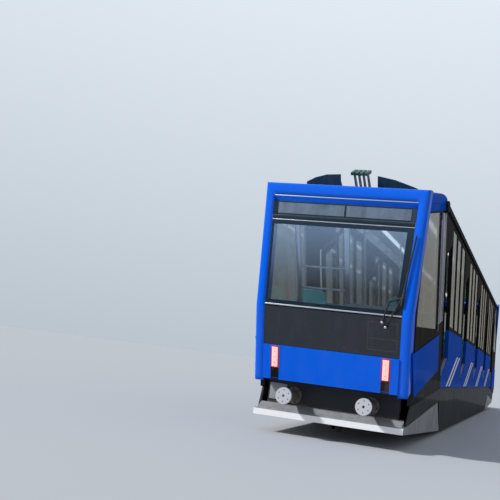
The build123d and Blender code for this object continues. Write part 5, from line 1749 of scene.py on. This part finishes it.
class FUNICULAR_OT_bolts(bpy.types.Operator):
    """Adds bolts to the buffers, axle boxes and wheels"""
    bl_idname = "funicular.bolts"
    bl_label = "Bolt The Running Gear"

    def execute(self, context):
        bolt_buffers()
        bolt_axle_boxes()
        bolt_wheels()
        return {"FINISHED"}


class FUNICULAR_OT_disc_plugs(bpy.types.Operator):
    """Adds dark plugs to the holes of the buffers' discs: painted shade in the holes"""
    bl_idname = "funicular.disc_plugs"
    bl_label = "Plug The Discs"

    def execute(self, context):
        on_ends(kind(disc_plugs, "rubber", "buffer_grey"))
        return {"FINISHED"}


# Studio: the camera where the photograph was taken from, for a square picture
CAMERA = {"place": (17.95, 2.476, 1.001), "up": (0.14114173, -0.08611125, 0.98623723),
          "ahead": (-0.95262169, -0.28293334, 0.11162723), "sensor": 36.0, "lens": 51.12,
          "shift": (-0.1688, 0.0618), "reach": 400.0}
FLOOR_REACH = 90.0
FLOOR_ROUGHNESS = 0.8
SUN_FROM = (0.45, -0.70, 0.56)
FILL_COLOUR = (0.86, 0.91, 1.0)
# Tones of the sky: the span over which it changes, its first colour and its last
SKY_BEHIND = ((0.0, 0.55), (0.50, 0.56, 0.62), (0.80, 0.87, 0.95))
SKY_AHEAD = ((0.06, 0.16), (0.09, 0.10, 0.11), (0.46, 0.67, 1.0))
SKY_BESIDE = ((0.12, 0.55), (0.30, 0.29, 0.26), (0.70, 0.82, 0.98))
AHEAD_SPAN = (0.1, 0.5)


def build_camera():
    """The camera at the photograph's viewing angle."""
    data = bpy.data.cameras.new("view")
    camera = bpy.data.objects.new("view", data)
    bpy.context.scene.collection.objects.link(camera)
    up, ahead = Vector(CAMERA["up"]), Vector(CAMERA["ahead"])
    turn = Matrix((ahead.cross(up), up, -ahead)).transposed().to_4x4()
    camera.matrix_world = Matrix.Translation(CAMERA["place"]) @ turn
    data.sensor_width = CAMERA["sensor"]
    data.lens = CAMERA["lens"]
    data.shift_x, data.shift_y = CAMERA["shift"]
    data.clip_end = CAMERA["reach"]
    bpy.context.scene.camera = camera


def build_floor():
    """A plain pale floor under the wheels."""
    reach = FLOOR_REACH
    mesh = bpy.data.meshes.new("floor")
    mesh.from_pydata([(-reach, -reach, 0), (reach, -reach, 0), (reach, reach, 0), (-reach, reach, 0)], [],
                     [(0, 1, 2, 3)])
    material = bpy.data.materials.new("pale_floor")
    material.use_nodes = True
    surface = material.node_tree.nodes["Principled BSDF"]
    surface.inputs["Base Color"].default_value = opaque(studio().floor)
    surface.inputs["Roughness"].default_value = FLOOR_ROUGHNESS
    mesh.materials.append(material)
    place_mesh("floor", mesh)


def build_sun():
    """A soft sun from the front left."""
    data = bpy.data.lights.new("sun", "SUN")
    data.energy = studio().sun
    data.angle = studio().sun_angle
    sun = bpy.data.objects.new("sun", data)
    bpy.context.scene.collection.objects.link(sun)
    sun.rotation_euler = Vector(SUN_FROM).to_track_quat("Z", "Y").to_euler()


def sky_tone(tree, height, tone):
    """A colour that goes from one to another as the height crosses a span."""
    span, low, high = tone
    return add_mix(tree, "RGBA", share_of(tree, height, *span), opaque(low), opaque(high))


def build_sky():
    """Even light for the car, and a sky that pales upwards behind it and in its glass and gloss."""
    world = bpy.data.worlds.new("sky")
    bpy.context.scene.world = world
    world.use_nodes = True
    tree = world.node_tree
    even = tree.nodes["Background"]
    even.inputs["Color"].default_value = opaque(FILL_COLOUR)
    even.inputs["Strength"].default_value = studio().fill
    way = apart(tree, add_node(tree, "ShaderNodeTexCoord").outputs["Generated"])
    # Gloss sees a dark ground line ahead of the car under a blue sky, and a dim one beside it
    gloss = add_mix(tree, "RGBA", share_of(tree, way["X"], *AHEAD_SPAN),
                    sky_tone(tree, way["Z"], SKY_BESIDE), sky_tone(tree, way["Z"], SKY_AHEAD))
    path = add_node(tree, "ShaderNodeLightPath").outputs
    tone = add_mix(tree, "RGBA", path["Is Glossy Ray"], sky_tone(tree, way["Z"], SKY_BEHIND), gloss)
    seen = add_node(tree, "ShaderNodeBackground", Color=tone)
    shown = add_math(tree, "MAXIMUM", path["Is Camera Ray"], path["Is Glossy Ray"])
    mix = add_node(tree, "ShaderNodeMixShader", Fac=add_math(tree, "MAXIMUM", shown,
                                                             path["Is Transmission Ray"]))
    tree.links.new(even.outputs["Background"], mix.inputs[1])
    tree.links.new(seen.outputs["Background"], mix.inputs[2])
    tree.links.new(mix.outputs["Shader"], tree.nodes["World Output"].inputs["Surface"])


class FUNICULAR_OT_stage(bpy.types.Operator):
    """Adds the floor, the lights and the camera"""
    bl_idname = "funicular.stage"
    bl_label = "Set The Stage"

    def execute(self, context):
        context.scene.view_settings.view_transform = "Standard"
        build_camera()
        build_floor()
        build_sun()
        build_sky()
        return {"FINISHED"}


# Add-on

STEPS = (FUNICULAR_OT_finishes, FUNICULAR_OT_screen_trim, FUNICULAR_OT_strip_trim, FUNICULAR_OT_lamps,
         FUNICULAR_OT_hatches, FUNICULAR_OT_wiper_caps, FUNICULAR_OT_headstocks, FUNICULAR_OT_pinstripes,
         FUNICULAR_OT_cladding, FUNICULAR_OT_cab_sides, FUNICULAR_OT_skirt_screws, FUNICULAR_OT_door_edges,
         FUNICULAR_OT_roof_bands, FUNICULAR_OT_nosings, FUNICULAR_OT_ceiling_lights,
         FUNICULAR_OT_thresholds, FUNICULAR_OT_seats, FUNICULAR_OT_front_posts, FUNICULAR_OT_linings,
         FUNICULAR_OT_bolts, FUNICULAR_OT_disc_plugs, FUNICULAR_OT_stage)


class FUNICULAR_PT_panel(bpy.types.Panel):
    """Lists the steps and settings of the car"""
    bl_label = "Funicular Car"
    bl_idname = "FUNICULAR_PT_panel"
    bl_space_type = "VIEW_3D"
    bl_region_type = "UI"
    bl_category = "Funicular"

    def draw(self, context):
        for step in STEPS:
            self.layout.operator(step.bl_idname)
        for group in (colours(), sizes(), studio()):
            box = self.layout.box()
            for key in group.__annotations__:
                box.prop(group, key)


CLASSES = (FunicularColours, FunicularSizes, FunicularStudio, *STEPS, FUNICULAR_PT_panel)


def register():
    """Registers the classes and the settings."""
    for entry in CLASSES:
        bpy.utils.register_class(entry)
    bpy.types.Scene.funicular_colours = PointerProperty(type=FunicularColours)
    bpy.types.Scene.funicular_sizes = PointerProperty(type=FunicularSizes)
    bpy.types.Scene.funicular_studio = PointerProperty(type=FunicularStudio)


def unregister():
    """Takes the settings and the classes away again."""
    del bpy.types.Scene.funicular_colours
    del bpy.types.Scene.funicular_sizes
    del bpy.types.Scene.funicular_studio
    for entry in reversed(CLASSES):
        bpy.utils.unregister_class(entry)


def main():
    """Runs every step."""
    register()
    for step in STEPS:
        category, name = step.bl_idname.split(".")
        getattr(getattr(bpy.ops, category), name)()


if __name__ == "__main__":
    main()
